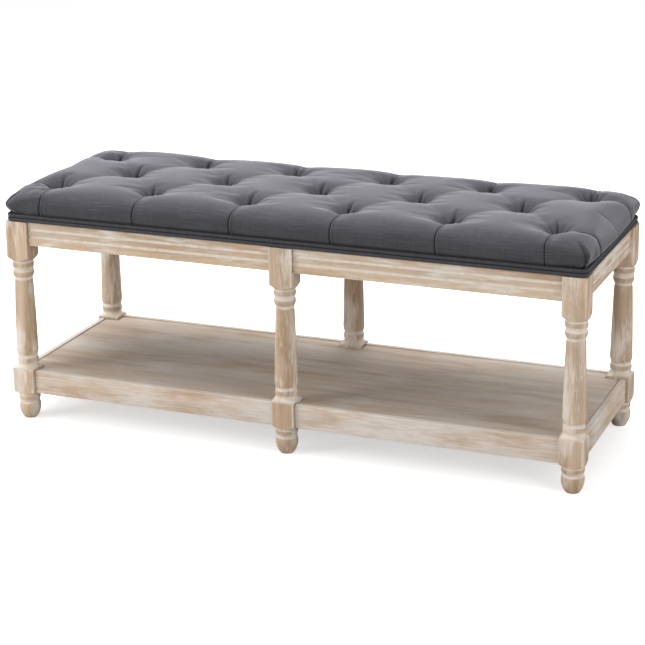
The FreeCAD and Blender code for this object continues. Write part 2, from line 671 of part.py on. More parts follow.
class CushionSection:
    """Half outline of the cushion across the bench at one X, from the welt to the middle.

    Drops are measured down from the crown, depths across from the middle of the bench.
    """

    def __init__(self, x, edge_drop, puff_drop, valley, valley_drop, middle_drop,
                 side_inset=0.0, edge_height=None, lift=0.0):
        crown = size("crown_height")
        self.x = x
        self.bulge = size("frame_depth") / 2 + size("cushion_bulge") - side_inset
        base = size("frame_depth") / 2 - size("seam_inset")
        self.seam = min(base + size("seam_overhang"), self.bulge - size("side_lean"))
        self.bottom = size("seam_height") + lift
        self.edge_level = crown - edge_drop
        self.side_level = self.bottom + (size("edge_height") if edge_height is None
                                         else edge_height)
        self.puff_level = crown - puff_drop
        self.valley = valley
        self.valley_level = crown - valley_drop
        self.middle_level = crown - middle_drop
        self.is_end = lift > 0

    def draw_in(self, inset):
        """Move the whole outline inside itself, as the foam lies inside the cover."""
        self.seam -= inset
        self.bulge -= inset
        if self.is_end:
            self.bottom += inset
        self.edge_level -= inset
        self.side_level -= inset
        self.puff_level -= inset
        self.valley_level -= inset
        self.middle_level -= inset
        return self

    def wire(self, side):
        """Closed outline: three arcs up each side, one over the middle, a straight bottom."""
        edge_y = self.bulge - size("edge_width")
        side_y = self.bulge - size("side_lean")
        inwards, upwards = EDGE_SHOULDER
        rounding = (self.bulge - inwards * size("edge_width"),
                    self.side_level + upwards * (self.edge_level - self.side_level))
        half = [
            (self.seam, self.bottom),
            (self.bulge, (self.bottom + self.side_level) / 2),
            (side_y, self.side_level), rounding, (edge_y, self.edge_level),
            ((edge_y + self.valley) / 2, self.puff_level), (self.valley, self.valley_level),
        ]
        x = side * self.x
        front = [vector(x, -y, z) for y, z in half]
        back = [vector(x, y, z) for y, z in reversed(half)]
        chain = front + [vector(x, 0, self.middle_level)] + back
        edges = [Part.Arc(*chain[start:start + 3]).toShape()
                 for start in range(0, len(chain) - 2, 2)]
        edges.append(Part.LineSegment(chain[-1], chain[0]).toShape())
        return Part.Wire(edges)


def cushion_sections(inset):
    """Sections from the middle of the bench to its end, the surface drawn in by inset.

    They repeat every tuft pitch: through a middle tuft and the full puffs beside it, across
    the diagonal folds, through the outer tufts with their edge pleats, and back.
    """
    row = size("tuft_row_spacing")
    tuft = size("tuft_depth")
    pleat = size("pleat_depth")
    sections = []
    for step in range(11):
        x = step * size("tuft_pitch") / 4
        if step % 4 == 0:
            sections.append(CushionSection(x, size("edge_drop"), size("puff_drop"),
                                           size("tuft_width") / 2, tuft,
                                           tuft + size("tuft_dish")))
        elif step % 4 == 2:
            sections.append(CushionSection(x, pleat, (pleat + tuft) / 2 - size("pleat_fullness"),
                                           row, tuft, 0, size("pleat_inset")))
        else:
            sections.append(CushionSection(x, size("diagonal_edge_drop"),
                                           size("diagonal_puff_drop"), row / 2,
                                           size("diagonal_depth"), size("diagonal_middle_drop")))
    outer_tuft = x
    end = size("frame_length") / 2 + size("cushion_bulge")
    rounding = size("end_rounding")
    edge = size("end_edge_drop")
    middle = size("end_middle_drop")
    end_pleat = size("end_pleat_depth")
    sections.append(CushionSection((outer_tuft + 3 * (end - rounding)) / 4, edge,
                                   (edge + end_pleat) / 2 - size("end_pleat_fullness"),
                                   row, end_pleat, middle, size("end_inset")))
    for share in END_SHARES:
        bend = 1 - math.sqrt(1 - (1 - share) ** 2)
        drop = size("end_drop") * bend
        lift = size("end_lift") * bend
        height = (size("cushion_rise") - edge - drop - lift) * size("side_share")
        sections.append(CushionSection(
            end - rounding * share, edge + drop, edge + drop, row,
            max(end_pleat, edge + drop) + size("end_inset"), middle + drop,
            size("end_inset") + size("end_narrowing") * bend, height, lift))
    for section in sections:
        section.draw_in(inset)
        if section.x > end - rounding:
            section.x -= inset
    return sections


def cushion(inset, base_bottom):
    """Seat cushion: puffs between the tufts, drawn-in sides, and a straight base behind the welt."""
    sections = cushion_sections(inset)
    wires = [section.wire(-1) for section in reversed(sections[1:])]
    wires += [section.wire(1) for section in sections]
    top = Part.makeLoft(wires, True, True)
    behind_welt = size("seam_inset") + inset
    base = rounded_slab(size("frame_length") / 2 - behind_welt,
                        size("frame_depth") / 2 - behind_welt,
                        base_bottom, size("seam_height") + size("welt_diameter") / 2,
                        size("base_corner") - inset)
    return top.fuse(base)


def tuft_positions():
    pitch = size("tuft_pitch")
    places = [(step * pitch, 0.0) for step in range(-2, 3)]
    for row in (-size("tuft_row_spacing"), size("tuft_row_spacing")):
        places += [((step + 0.5) * pitch, row) for step in range(-3, 3)]
    return places


def build_ties():
    """Cord and washer that hold each tuft down, and the tunnels they run through."""
    radius = size("tie_diameter") / 2
    washer_top = size("board_bottom") - size("hole_clearance")
    washer_bottom = washer_top - size("tie_washer_thickness")
    cord_top = size("tuft_height") - size("cover_thickness") - size("tie_slack")
    ties = []
    tunnels = []
    for x, y in tuft_positions():
        foot = vector(x, y, washer_bottom)
        cord = Part.makeCylinder(radius, cord_top - washer_bottom, foot)
        washer = Part.makeCylinder(size("tie_washer") / 2, size("tie_washer_thickness"), foot)
        ties.append(cord.fuse(washer).removeSplitter())
        tunnels.append(Part.makeCylinder(radius + size("tie_play"),
                                         size("crown_height") - washer_bottom, foot))
    group("tuft_ties", ties)
    return tunnels


def build_seat():
    """Dust cloth, seat board, tuft ties, foam and cover, from the bottom up."""
    flat_board("dust_cloth", "dust_length", "dust_depth", "dust_thickness", size("frame_top"),
               seat_screws.holes)
    tunnels = build_ties()
    flat_board("seat_board", "board_length", "board_depth", "board_thickness",
               size("board_bottom"), seat_screws.holes + tunnels, "board_corner")
    thickness = size("cover_thickness")
    foam = cushion(thickness + size("soft_gap"), size("foam_bottom"))
    solid_part("seat_foam", foam.cut(Part.makeCompound(tunnels)))
    outside = cushion(0.0, size("cover_bottom"))
    inside = cushion(thickness, size("cover_bottom") + thickness)
    fold = size("seam_inset") + size("cover_turn_under")
    half_x = size("frame_length") / 2 - fold
    half_y = size("frame_depth") / 2 - fold
    window = Part.makeBox(2 * half_x, 2 * half_y, 4 * thickness,
                          vector(-half_x, -half_y, size("cover_bottom") - 2 * thickness))
    solid_part("seat_cover", outside.cut(inside).cut(window))


def build_welt():
    """Double welt: two cords round the base of the cushion, sewn to one strip."""
    radius = size("welt_diameter") / 2
    half_x = size("frame_length") / 2 - radius
    half_y = size("frame_depth") / 2 - radius
    corner = size("welt_corner")
    low = size("cover_bottom") + radius
    high = low + size("welt_diameter")
    cords = []
    for level in (low, high):
        slab = rounded_slab(half_x, half_y, level, high + radius, corner)
        path = next(face.OuterWire for face in slab.Faces if face.normalAt(0, 0).z < -0.9)
        first = path.Edges[0]
        section = Part.makeCircle(radius, first.Vertexes[0].Point,
                                  first.tangentAt(first.FirstParameter))
        cords.append(path.makePipeShell([Part.Wire(section)], True, True, 2))
    half_strip = size("cover_thickness") / 2
    outer = rounded_slab(half_x + half_strip, half_y + half_strip, low, high, corner + half_strip)
    inner = rounded_slab(half_x - half_strip, half_y - half_strip, low, high, corner - half_strip)
    solid_part("double_welt", cords[0].fuse([cords[1], outer.cut(inner)]).removeSplitter())


for side_x, side_y, _ in CORNERS.values():
    fasten_corner(side_x, side_y)
fasten_cross_rails()
build_legs()
build_rails()
group("seat_frame_dowels", dowels("apron", "seat cross"))
group("shelf_frame_dowels", dowels("rail", "shelf cross"))
group("corner_braces", [corner_brace(side_x, side_y) for side_x, side_y, _ in CORNERS.values()])
group("brace_screws", brace_screws.pieces)
group("leg_bolts", leg_bolts.pieces)
group("leg_bolt_nuts", nuts)
group("seat_screws", seat_screws.pieces)
group("shelf_screws", shelf_screws.pieces)
build_shelf_panel()
build_seat()
build_welt()

doc.recompute()
for obj in doc.Objects:
    if "Invalid" in obj.State or "Error" in obj.State:
        raise RuntimeError("did not compute: " + obj.Label)
for part in finished:
    if part.Shape.isNull() or not part.Shape.isValid():
        raise RuntimeError("not a valid shape: " + part.Label)

os.makedirs("parts", exist_ok=True)
for part in finished:
    part.Shape.exportStep("parts/%s.step" % part.Label)
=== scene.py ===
"""Tufted bench with a lower shelf: cloth, limed wood and light round its fixed frame."""

import logging
import math
from dataclasses import dataclass, field
from enum import Enum

import bmesh
import bpy
import numpy as np
from mathutils import Matrix, Vector


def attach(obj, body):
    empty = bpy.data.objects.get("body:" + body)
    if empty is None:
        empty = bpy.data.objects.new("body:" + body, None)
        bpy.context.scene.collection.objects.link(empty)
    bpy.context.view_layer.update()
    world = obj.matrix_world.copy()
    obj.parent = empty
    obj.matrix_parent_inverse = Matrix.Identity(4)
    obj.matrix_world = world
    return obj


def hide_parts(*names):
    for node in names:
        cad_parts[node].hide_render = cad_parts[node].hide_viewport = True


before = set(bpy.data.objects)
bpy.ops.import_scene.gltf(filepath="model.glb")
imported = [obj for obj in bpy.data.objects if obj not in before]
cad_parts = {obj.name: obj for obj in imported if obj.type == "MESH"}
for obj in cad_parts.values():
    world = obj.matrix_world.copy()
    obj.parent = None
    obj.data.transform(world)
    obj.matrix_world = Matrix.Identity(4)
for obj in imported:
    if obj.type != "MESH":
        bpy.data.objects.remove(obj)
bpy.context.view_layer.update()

log = logging.getLogger("bench")

Colour = tuple[float, float, float]
Triple = tuple[float, float, float]
Socket = bpy.types.NodeSocket

CLOTH_MAP = "cloth"
# Point attribute that holds how much painted shade each point of the cloth gets in creases.
CREASE_SHADE = "crease_shade"


def colour(red: int, green: int, blue: int) -> Colour:
    """Turn a colour as seen on a screen, 0 to 255, into the linear values that shaders use."""
    return tuple(((c / 255 + 0.055) / 1.055) ** 2.4 if c > 10 else c / 3295
                 for c in (red, green, blue))


class Axis(Enum):
    """Direction in which the grain of a wooden piece runs."""

    ALONG_BENCH = (0.0, 0.0, 0.0)
    ACROSS_BENCH = (0.0, 0.0, 90.0)
    UPRIGHT = (0.0, 90.0, 0.0)


class Recess(Enum):
    """Which grooves of a piece hold white paint."""

    TURNED = "turned"
    FLUTED = "fluted"
    PLAIN = "plain"


class Value:
    """A number that varies over a surface. Sums with it lay out Math nodes."""

    def __init__(self, tree: "Tree", socket: Socket) -> None:
        """Keep a node's output with its tree."""
        self.tree = tree
        self.socket = socket

    def __add__(self, other: "Value | float") -> "Value":
        """Add another value."""
        return self.tree.maths("ADD", self, other)

    def __sub__(self, other: "Value | float") -> "Value":
        """Take another value away."""
        return self.tree.maths("SUBTRACT", self, other)

    def __rsub__(self, other: float) -> "Value":
        """Take this value away from a number."""
        return self.tree.maths("SUBTRACT", other, self)

    def __mul__(self, other: "Value | float") -> "Value":
        """Multiply by another value."""
        return self.tree.maths("MULTIPLY", self, other)

    def __abs__(self) -> "Value":
        """Drop the sign."""
        return self.tree.maths("ABSOLUTE", self)


class Tree:
    """Lays out the nodes of one shader tree or node group."""

    def __init__(self, tree: bpy.types.NodeTree) -> None:
        """Start on an empty tree."""
        self.tree = tree
        tree.nodes.clear()

    def feed(self, socket: Socket, value: object) -> None:
        """Link a value to an input, or set the input to it.

        Args:
            socket: The input.
            value: A value, a node's output, a colour, a vector or a number.
        """
        if isinstance(value, Value):
            value = value.socket
        if isinstance(value, bpy.types.NodeSocket):
            self.tree.links.new(value, socket)
        elif isinstance(value, tuple) and len(value) == 3 and socket.type == "RGBA":
            socket.default_value = (*value, 1.0)
        else:
            socket.default_value = value

    def node(self, kind: str, inputs: dict | None = None, **settings: object) -> bpy.types.Node:
        """Add a node.

        Args:
            kind: Blender's name for the node, without its ShaderNode prefix.
            inputs: Values or sockets for its inputs, by name or number.
            settings: Properties to set on the node.

        Returns:
            The new node.
        """
        made = self.tree.nodes.new("ShaderNode" + kind)
        for name, value in settings.items():
            setattr(made, name, value)
        for name, value in (inputs or {}).items():
            self.feed(made.inputs[name], value)
        return made

    def maths(self, operation: str, *values: object, clamp: bool = False) -> Value:
        """Add a Math node.

        Args:
            operation: Blender's name for the operation.
            values: What it works on.
            clamp: Whether the result is kept between 0 and 1.

        Returns:
            The result.
        """
        made = self.node("Math", dict(enumerate(values)), operation=operation, use_clamp=clamp)
        return Value(self, made.outputs[0])

    def ramp(self, value: Value, low: object, high: object, kind: str = "LINEAR") -> Value:
        """Return a value that runs from 0 at low to 1 at high.

        Args:
            value: What is mapped.
            low: Where the result is 0.
            high: Where the result is 1.
            kind: Blender's name for the way from one to the other.

        Returns:
            The mapped value.
        """
        made = self.node("MapRange", {"Value": value, "From Min": low, "From Max": high},
                         interpolation_type=kind)
        return Value(self, made.outputs["Result"])

    def step(self, value: Value, low: float, high: float) -> Value:
        """Return a soft step that runs from 0 at low to 1 at high."""
        return self.ramp(value, low, high, "SMOOTHSTEP")

    def band(self, value: Value, low: float, high: float, soft: float) -> Value:
        """Return a mask that is 1 between low and high and fades over soft."""
        return self.step(value, low - soft, low) * self.step(value, high + soft, high)

    def mix(self, factor: object, first: object, second: object) -> Socket:
        """Mix two colours.

        Args:
            factor: 0 for the first colour, 1 for the second.
            first: A colour or its socket.
            second: A colour or its socket.

        Returns:
            The mixed colour.
        """
        made = self.node("Mix", {"Factor": factor}, data_type="RGBA")
        self.feed(made.inputs[6], first)
        self.feed(made.inputs[7], second)
        return made.outputs[2]

    def place(self) -> Socket:
        """Return the place on the object."""
        return self.node("TexCoord").outputs["Object"]

    def split(self, vector: object) -> list[Value]:
        """Return the three parts of a vector."""
        made = self.node("SeparateXYZ", {0: vector})
        return [Value(self, part) for part in made.outputs]

    def stretched(self, vector: object, scale: Triple = (1.0, 1.0, 1.0),
                  turn: Triple = (0.0, 0.0, 0.0), shift: Triple = (0.0, 0.0, 0.0)) -> Socket:
        """Return turned, shifted and scaled coordinates.

        Args:
            vector: The coordinates.
            scale: Factors along the three axes.
            turn: Angles about the three axes, in degrees.
            shift: What is added.

        Returns:
            The new coordinates.
        """
        made = self.node("Mapping", {"Vector": vector, "Location": shift, "Scale": scale,
                                     "Rotation": tuple(math.radians(a) for a in turn)})
        return made.outputs[0]

    def noise(self, vector: object, scale: object = 1.0, detail: float = 3.0,
              roughness: float = 0.55, distortion: float = 0.0) -> Value:
        """Return a noise value from 0 to 1.

        Args:
            vector: The coordinates.
            scale: Number of blots per unit of the coordinates.
            detail: Number of finer layers.
            roughness: Strength of each finer layer.
            distortion: How far the noise bends itself.

        Returns:
            The noise.
        """
        made = self.node("TexNoise", {"Vector": vector, "Scale": scale, "Detail": detail,
                                      "Roughness": roughness, "Distortion": distortion})
        return Value(self, made.outputs["Fac"])

    def cells(self, vector: object, scale: float, randomness: float = 1.0) -> Value:
        """Return the distance from the nearest of many scattered points."""
        made = self.node("TexVoronoi", {"Vector": vector, "Scale": scale,
                                        "Randomness": randomness}, feature="F1")
        return Value(self, made.outputs["Distance"])


class Effect:
    """A shader node group with named inputs and outputs, built once and then shared."""

    name = ""
    inputs: dict[str, object] = {}
    outputs: tuple[str, ...] = ()
    made: dict[str, bpy.types.NodeTree] = {}

    @classmethod
    def group(cls) -> bpy.types.NodeTree:
        """Build the group on its first use, and return it."""
        if cls.name not in cls.made:
            group = bpy.data.node_groups.new(cls.name, "ShaderNodeTree")
            tree = Tree(group)
            for label, value in cls.inputs.items():
                kind = "NodeSocketVector" if value is None else "NodeSocketFloat"
                socket = group.interface.new_socket(label, in_out="INPUT", socket_type=kind)
                if value is not None:
                    socket.default_value = value
            for label in cls.outputs:
                group.interface.new_socket(label, in_out="OUTPUT", socket_type="NodeSocketFloat")
            start = group.nodes.new("NodeGroupInput")
            end = group.nodes.new("NodeGroupOutput")
            results = cls.build(tree, {s.name: Value(tree, s) for s in start.outputs})
            for label, value in zip(cls.outputs, results):
                tree.feed(end.inputs[label], value)
            cls.made[cls.name] = group
        return cls.made[cls.name]

    @classmethod
    def build(cls, tree: Tree, given: dict[str, Value]) -> tuple[Value, ...]:
        """Lay out the group.

        Args:
            tree: The group's tree.
            given: The group's inputs by name.

        Returns:
            The results in the order of the group's outputs.
        """
        raise NotImplementedError

    @classmethod
    def use(cls, tree: Tree, **inputs: object) -> dict[str, Value]:
        """Place the group in a material.

        Args:
            tree: The material's tree.
            inputs: Values or sockets for the group's inputs, by name.

        Returns:
            The group's outputs by name.
        """
        made = tree.tree.nodes.new("ShaderNodeGroup")
        made.node_tree = cls.group()
        for label, value in inputs.items():
            tree.feed(made.inputs[label], value)
        return {socket.name: Value(tree, socket) for socket in made.outputs}


class Grain(Effect):
    """Wood grain that runs along X: broad figure, fine fibres and short open pores."""

    name = "wood grain"
    inputs = {"Vector": None}
    outputs = ("Figure", "Fibres", "Pores")
    bends = (3.0, 9.0, 9.0)
    sway = 0.030
    figures = (2.2, 46.0, 46.0)
    fibres = (14.0, 520.0, 520.0)
    dashes = (70.0, 1150.0, 1150.0)
    pore_edge = (0.60, 0.72)

    @classmethod
    def build(cls, tree: Tree, given: dict[str, Value]) -> tuple[Value, ...]:
        """Stretch three noises along the grain, bent by a fourth.

        Args:
            tree: The group's tree.
            given: The group's inputs by name.

        Returns:
            The figure, the fibres and the pores.
        """
        vector = given["Vector"]
        sway = (tree.noise(tree.stretched(vector, cls.bends), detail=2.0) - 0.5) * cls.sway
        offset = tree.node("CombineXYZ", {"Y": sway, "Z": sway}).outputs[0]
        bent = tree.node("VectorMath", {0: vector, 1: offset}, operation="ADD").outputs[0]
        figure = tree.noise(tree.stretched(bent, cls.figures), roughness=0.5, distortion=0.4)
        fibres = tree.noise(tree.stretched(bent, cls.fibres), detail=4.0, roughness=0.65)
        dashes = tree.noise(tree.stretched(bent, cls.dashes), detail=1.0)
        return figure, fibres, tree.step(dashes, *cls.pore_edge)


class Lime(Effect):
    """White lime wash: it fills what is recessed and lies in brushed patches elsewhere."""

    name = "lime wash"
    inputs = {"Vector": None, "Recess": 0.0, "Amount": 0.4, "Fibres": 0.5, "Scale": 1.0,
              "Softness": 0.13}
    outputs = ("Wash", "Chalk")
    patches = (8.0, 24.0, 24.0)
    strokes = (22.0, 240.0, 240.0)
    patch_share = 0.76
    stroke_share = 0.24
    fibre_share = 0.14
    bare_edge = 0.80
    amount_share = 0.36
    cover = 0.88
    worn_size = 55.0
    worn_edge = (0.30, 0.62)
    worn_share = 0.45
    chalk_size = 900.0

    @classmethod
    def build(cls, tree: Tree, given: dict[str, Value]) -> tuple[Value, ...]:
        """Brush patches along the grain, and add what the recesses hold.

        Args:
            tree: The group's tree.
            given: The group's inputs by name.

        Returns:
            How much lime lies on the wood, and its chalky height.
        """
        vector = given["Vector"]
        broad = tree.noise(tree.stretched(vector, cls.patches), given["Scale"], detail=4.0,
                           roughness=0.6, distortion=0.3)
        strokes = tree.noise(tree.stretched(vector, cls.strokes), roughness=0.6)
        brushed = (broad * cls.patch_share + strokes * cls.stroke_share
                   + given["Fibres"] * cls.fibre_share)
        edge = cls.bare_edge - given["Amount"] * cls.amount_share
        patches = tree.ramp(brushed, edge, edge + given["Softness"])
        worn = tree.step(tree.noise(vector, cls.worn_size, detail=4.0, roughness=0.7),
                         *cls.worn_edge)
        held = given["Recess"] * (worn * cls.worn_share + (1 - cls.worn_share))
        wash = tree.maths("MAXIMUM", patches * cls.cover, held, clamp=True)
        return wash, wash * tree.noise(vector, cls.chalk_size, detail=2.0)


class Turning(Effect):
    """Where paint stays on a turned leg: in its quirks and hollows and on its shoulders.

    Each level holds the height of a band, its reach and how much paint it keeps.
    """

    name = "turned recesses"
    inputs = {"Vector": None}
    outputs = ("Recess", "Arris")
    levels = (
        (0.3365, 0.0028, 0.85), (0.3200, 0.0055, 1.0), (0.3015, 0.0036, 0.95),
        (0.1345, 0.0042, 1.0), (0.1150, 0.0072, 1.0), (0.0515, 0.0030, 0.9),
        (0.0368, 0.0050, 1.0),
    )
    fade = 0.8
    jitter_size = 38.0
    jitter = 0.004
    half_spacing = 0.28825
    row = 0.1865
    arris_edge = (0.0195, 0.0225)

    @classmethod
    def build(cls, tree: Tree, given: dict[str, Value]) -> tuple[Value, ...]:
        """Mark bands by height, and the long edges of the square blocks.

        Args:
            tree: The group's tree.
            given: The group's inputs by name.

        Returns:
            The mask of the recesses and the mask of the edges.
        """
        x, y, z = tree.split(given["Vector"])
        height = z + (tree.noise(given["Vector"], cls.jitter_size) - 0.5) * cls.jitter
        recess: object = 0.0
        for level, reach, strength in cls.levels:
            band = tree.band(height, level - reach / 2, level + reach / 2, reach * cls.fade)
            recess = tree.maths("MAXIMUM", recess, band * strength)
        from_leg = abs(abs(abs(x) - cls.half_spacing) - cls.half_spacing)
        corner = tree.maths("MINIMUM", from_leg, abs(abs(y) - cls.row))
        return recess, tree.step(corner, *cls.arris_edge)


class Weave(Effect):
    """Plain weave of slightly uneven yarns on cloth coordinates in metres."""

    name = "plain weave"
    inputs = {"Vector": None, "Pitch": 0.0011}
    outputs = ("Height", "Tone")
    wander_size = 160.0
    wander = 0.0004
    along = (14.0, 420.0, 1.0)
    across = (420.0, 14.0, 1.0)
    along_share = 0.6
    slubs = (22.0, 300.0, 1.0)
    slub_edge = (0.60, 0.74)
    slub_share = 0.35
    tone_edge = (0.30, 0.70)
    tone_share = 0.85

    @classmethod
    def build(cls, tree: Tree, given: dict[str, Value]) -> tuple[Value, ...]:
        """Cross two sets of yarns, and let some of them run thick and pale.

        Args:
            tree: The group's tree.
            given: The group's inputs by name.

        Returns:
            The yarns' height and how pale they are.
        """
        vector = given["Vector"]
        wander = (tree.noise(vector, cls.wander_size, detail=2.0) - 0.5) * cls.wander
        angle = tree.maths("DIVIDE", math.pi, given["Pitch"])
        warp, weft = (tree.maths("SINE", (part + wander) * angle)
                      for part in tree.split(vector)[:2])
        along = tree.noise(tree.stretched(vector, cls.along), roughness=0.7)
        across = tree.noise(tree.stretched(vector, cls.across), roughness=0.7)
        slubs = tree.step(tree.noise(tree.stretched(vector, cls.slubs), detail=1.0),
                          *cls.slub_edge)
        tone = tree.ramp(along * cls.along_share + across * (1 - cls.along_share),
                         *cls.tone_edge)
        tone = tree.maths("ADD", tone * cls.tone_share, slubs * cls.slub_share, clamp=True)
        return warp * weft * 0.5 + 0.5, tone


@dataclass(frozen=True)
class Surface:
    """What a finish shows at each point, how strong its relief is and how deep, in metres."""

    base: Socket
    roughness: object
    height: Value
    strength: float
    depth: float
    others: dict[str, object] = field(default_factory=dict)


def new_material(name: str) -> tuple[bpy.types.Material, Tree]:
    """Make an empty node material.

    Args:
        name: Its name.

    Returns:
        The material and its tree.
    """
    material = bpy.data.materials.new(name)
    material.use_nodes = True
    return material, Tree(material.node_tree)


def finish_material(tree: Tree, shader: bpy.types.Node) -> None:
    """Connect a shader to the material's output."""
    tree.feed(tree.node("OutputMaterial").inputs["Surface"], shader.outputs[0])


class Finish:
    """A finish of a piece. Each kind lays out its own surface."""

    def surface(self, tree: Tree, seed: float) -> Surface:
        """Lay out colour, roughness and relief.

        Args:
            tree: The material's tree.
            seed: Shifts the pattern, so that no two pieces are alike.

        Returns:
            The surface.
        """
        raise NotImplementedError

    def make(self, name: str, seed: float = 0.0) -> bpy.types.Material:
        """Build the finish as a material.

        Args:
            name: The material's name.
            seed: Shifts the pattern, so that no two pieces are alike.

        Returns:
            The material.
        """
        material, tree = new_material(name)
        shown = self.surface(tree, seed)
        bump = tree.node("Bump", {"Strength": shown.strength, "Distance": shown.depth,
                                  "Height": shown.height})
        shader = tree.node("BsdfPrincipled", {"Base Color": shown.base,
                                              "Roughness": shown.roughness,
                                              "Normal": bump.outputs[0], **shown.others})
        finish_material(tree, shader)
        return material


@dataclass(frozen=True)
class LimedWood(Finish):
    """Shown wood: tan, brushed along the grain, lime white in its grooves and pores."""

    axis: Axis
    recess: Recess
    amount: float
    tan: Colour
    softness: float
    patch_scale: float = 1.0
    brown: Colour = colour(172, 142, 114)
    lime: Colour = colour(238, 232, 223)
    grey: Colour = colour(196, 187, 177)
    shadow: Colour = colour(74, 56, 42)
    greyness: float = 0.30
    # Whether painted shade is drawn where the rails meet the legs.
    shows_joint_shade: bool = True

    joint_outer = 0.553
    joint_inner = 0.0235
    joint_end = 0.163
    joint_shade_edge = (0.0022, 0.0008)
    flutes = ((0.4045, 0.4095), (0.3895, 0.3945))
    flute_fade = 0.0012
    apron_arris = (0.3755, 0.3735)
    rail_arris = (0.1035, 0.1055)
    haze = (3.0, 14.0, 14.0)
    haze_edge = (0.4, 0.7)
    seed_shift = (1.7, 0.9, 0.6)
    figure_edge = (0.30, 0.72)
    fibre_edge = (0.35, 0.75)
    fibre_share = 0.24
    pore_share = 0.40
    arris_share = 0.35
    wash_share = 0.88
    joint_shade_share = 0.75
    fibre_relief = 0.8
    pore_relief = 0.9
    bare_roughness = 0.60
    chalky_roughness = 0.25

    def surface(self, tree: Tree, seed: float) -> Surface:
        """Lay the tones of the wood and the lime over each other.

        Args:
            tree: The material's tree.
            seed: Shifts the pattern.

        Returns:
            The surface.
        """
        place = tree.place()
        along = tree.stretched(place, turn=self.axis.value,
                               shift=tuple(seed * share for share in self.seed_shift))
        grain = Grain.use(tree, Vector=along)
        fibres, pores = grain["Fibres"], grain["Pores"]
        recess, arris = self.held(tree, place)
        lime = Lime.use(tree, Vector=along, Recess=recess, Amount=self.amount, Fibres=fibres,
                        Scale=self.patch_scale, Softness=self.softness)
        haze = tree.step(tree.noise(tree.stretched(along, self.haze)), *self.haze_edge)
        combed = tree.step(fibres, *self.fibre_edge)
        wood = tree.mix(tree.step(grain["Figure"], *self.figure_edge), self.tan, self.brown)
        # Layers of tone; the last one is painted shade where a rail meets a leg.
        for share, tone in ((combed * self.fibre_share, self.lime),
                            (haze * self.greyness, self.grey),
                            (pores * self.pore_share, self.brown),
                            (arris * self.arris_share, self.lime),
                            (lime["Wash"] * self.wash_share, self.lime),
                            (self.joint_shade(tree, place) * self.joint_shade_share, self.shadow)):
            wood = tree.mix(share, wood, tone)
        relief = fibres * self.fibre_relief - pores * self.pore_relief + lime["Chalk"]
        roughness = lime["Wash"] * self.chalky_roughness + self.bare_roughness
        return Surface(wood, roughness, relief, strength=0.55, depth=0.0005,
                       others={"Specular IOR Level": 0.30})

    def joint_shade(self, tree: Tree, place: Socket) -> "Value | float":
        """Return the mask of the painted shade line where a rail meets a leg.

        Args:
            tree: The material's tree.
            place: The place on the object.

        Returns:
            The mask, or 0 for a piece that gets no such painted shade.
        """
        if self.axis is Axis.UPRIGHT or not self.shows_joint_shade:
            return 0.0
        x, y, _ = tree.split(place)
        if self.axis is Axis.ACROSS_BENCH:
            away = abs(abs(y) - self.joint_end)
        else:
            away = tree.maths("MINIMUM", abs(abs(x) - self.joint_outer),
                              abs(abs(x) - self.joint_inner))
        return tree.step(away, *self.joint_shade_edge)

    def held(self, tree: Tree, place: Socket) -> tuple["Value | float", Value]:
        """Return the masks of painted recesses and of rubbed edges.

        Args:
            tree: The material's tree.
            place: The place on the object.

        Returns:
            The mask of the recesses, or 0 for a plain piece, and the mask of the edges.
        """
        if self.recess is Recess.TURNED:
            turning = Turning.use(tree, Vector=place)
            return turning["Recess"], turning["Arris"]
        height = tree.split(place)[2]
        if self.recess is Recess.FLUTED:
            flutes = [tree.band(height, *flute, self.flute_fade) for flute in self.flutes]
            return tree.maths("MAXIMUM", *flutes), tree.step(height, *self.apron_arris)
        return 0.0, tree.step(height, *self.rail_arris)


@dataclass(frozen=True)
class RawWood(Finish):
    """Unfinished wood inside the frame."""

    axis: Axis
    pale: Colour = colour(205, 178, 140)
    dark: Colour = colour(172, 140, 100)

    figure_edge = (0.3, 0.7)
    pore_share = 0.5

    def surface(self, tree: Tree, seed: float) -> Surface:
        """Lay out the grain.

        Args:
            tree: The material's tree.
            seed: Shifts the pattern.

        Returns:
            The surface.
        """
        grain = Grain.use(tree, Vector=tree.stretched(tree.place(), turn=self.axis.value,
                                                      shift=(seed, seed, 0.0)))
        wood = tree.mix(tree.step(grain["Figure"], *self.figure_edge), self.pale, self.dark)
        wood = tree.mix(grain["Pores"] * self.pore_share, wood, self.dark)
        return Surface(wood, roughness=0.75, height=grain["Fibres"], strength=0.4, depth=0.0003)


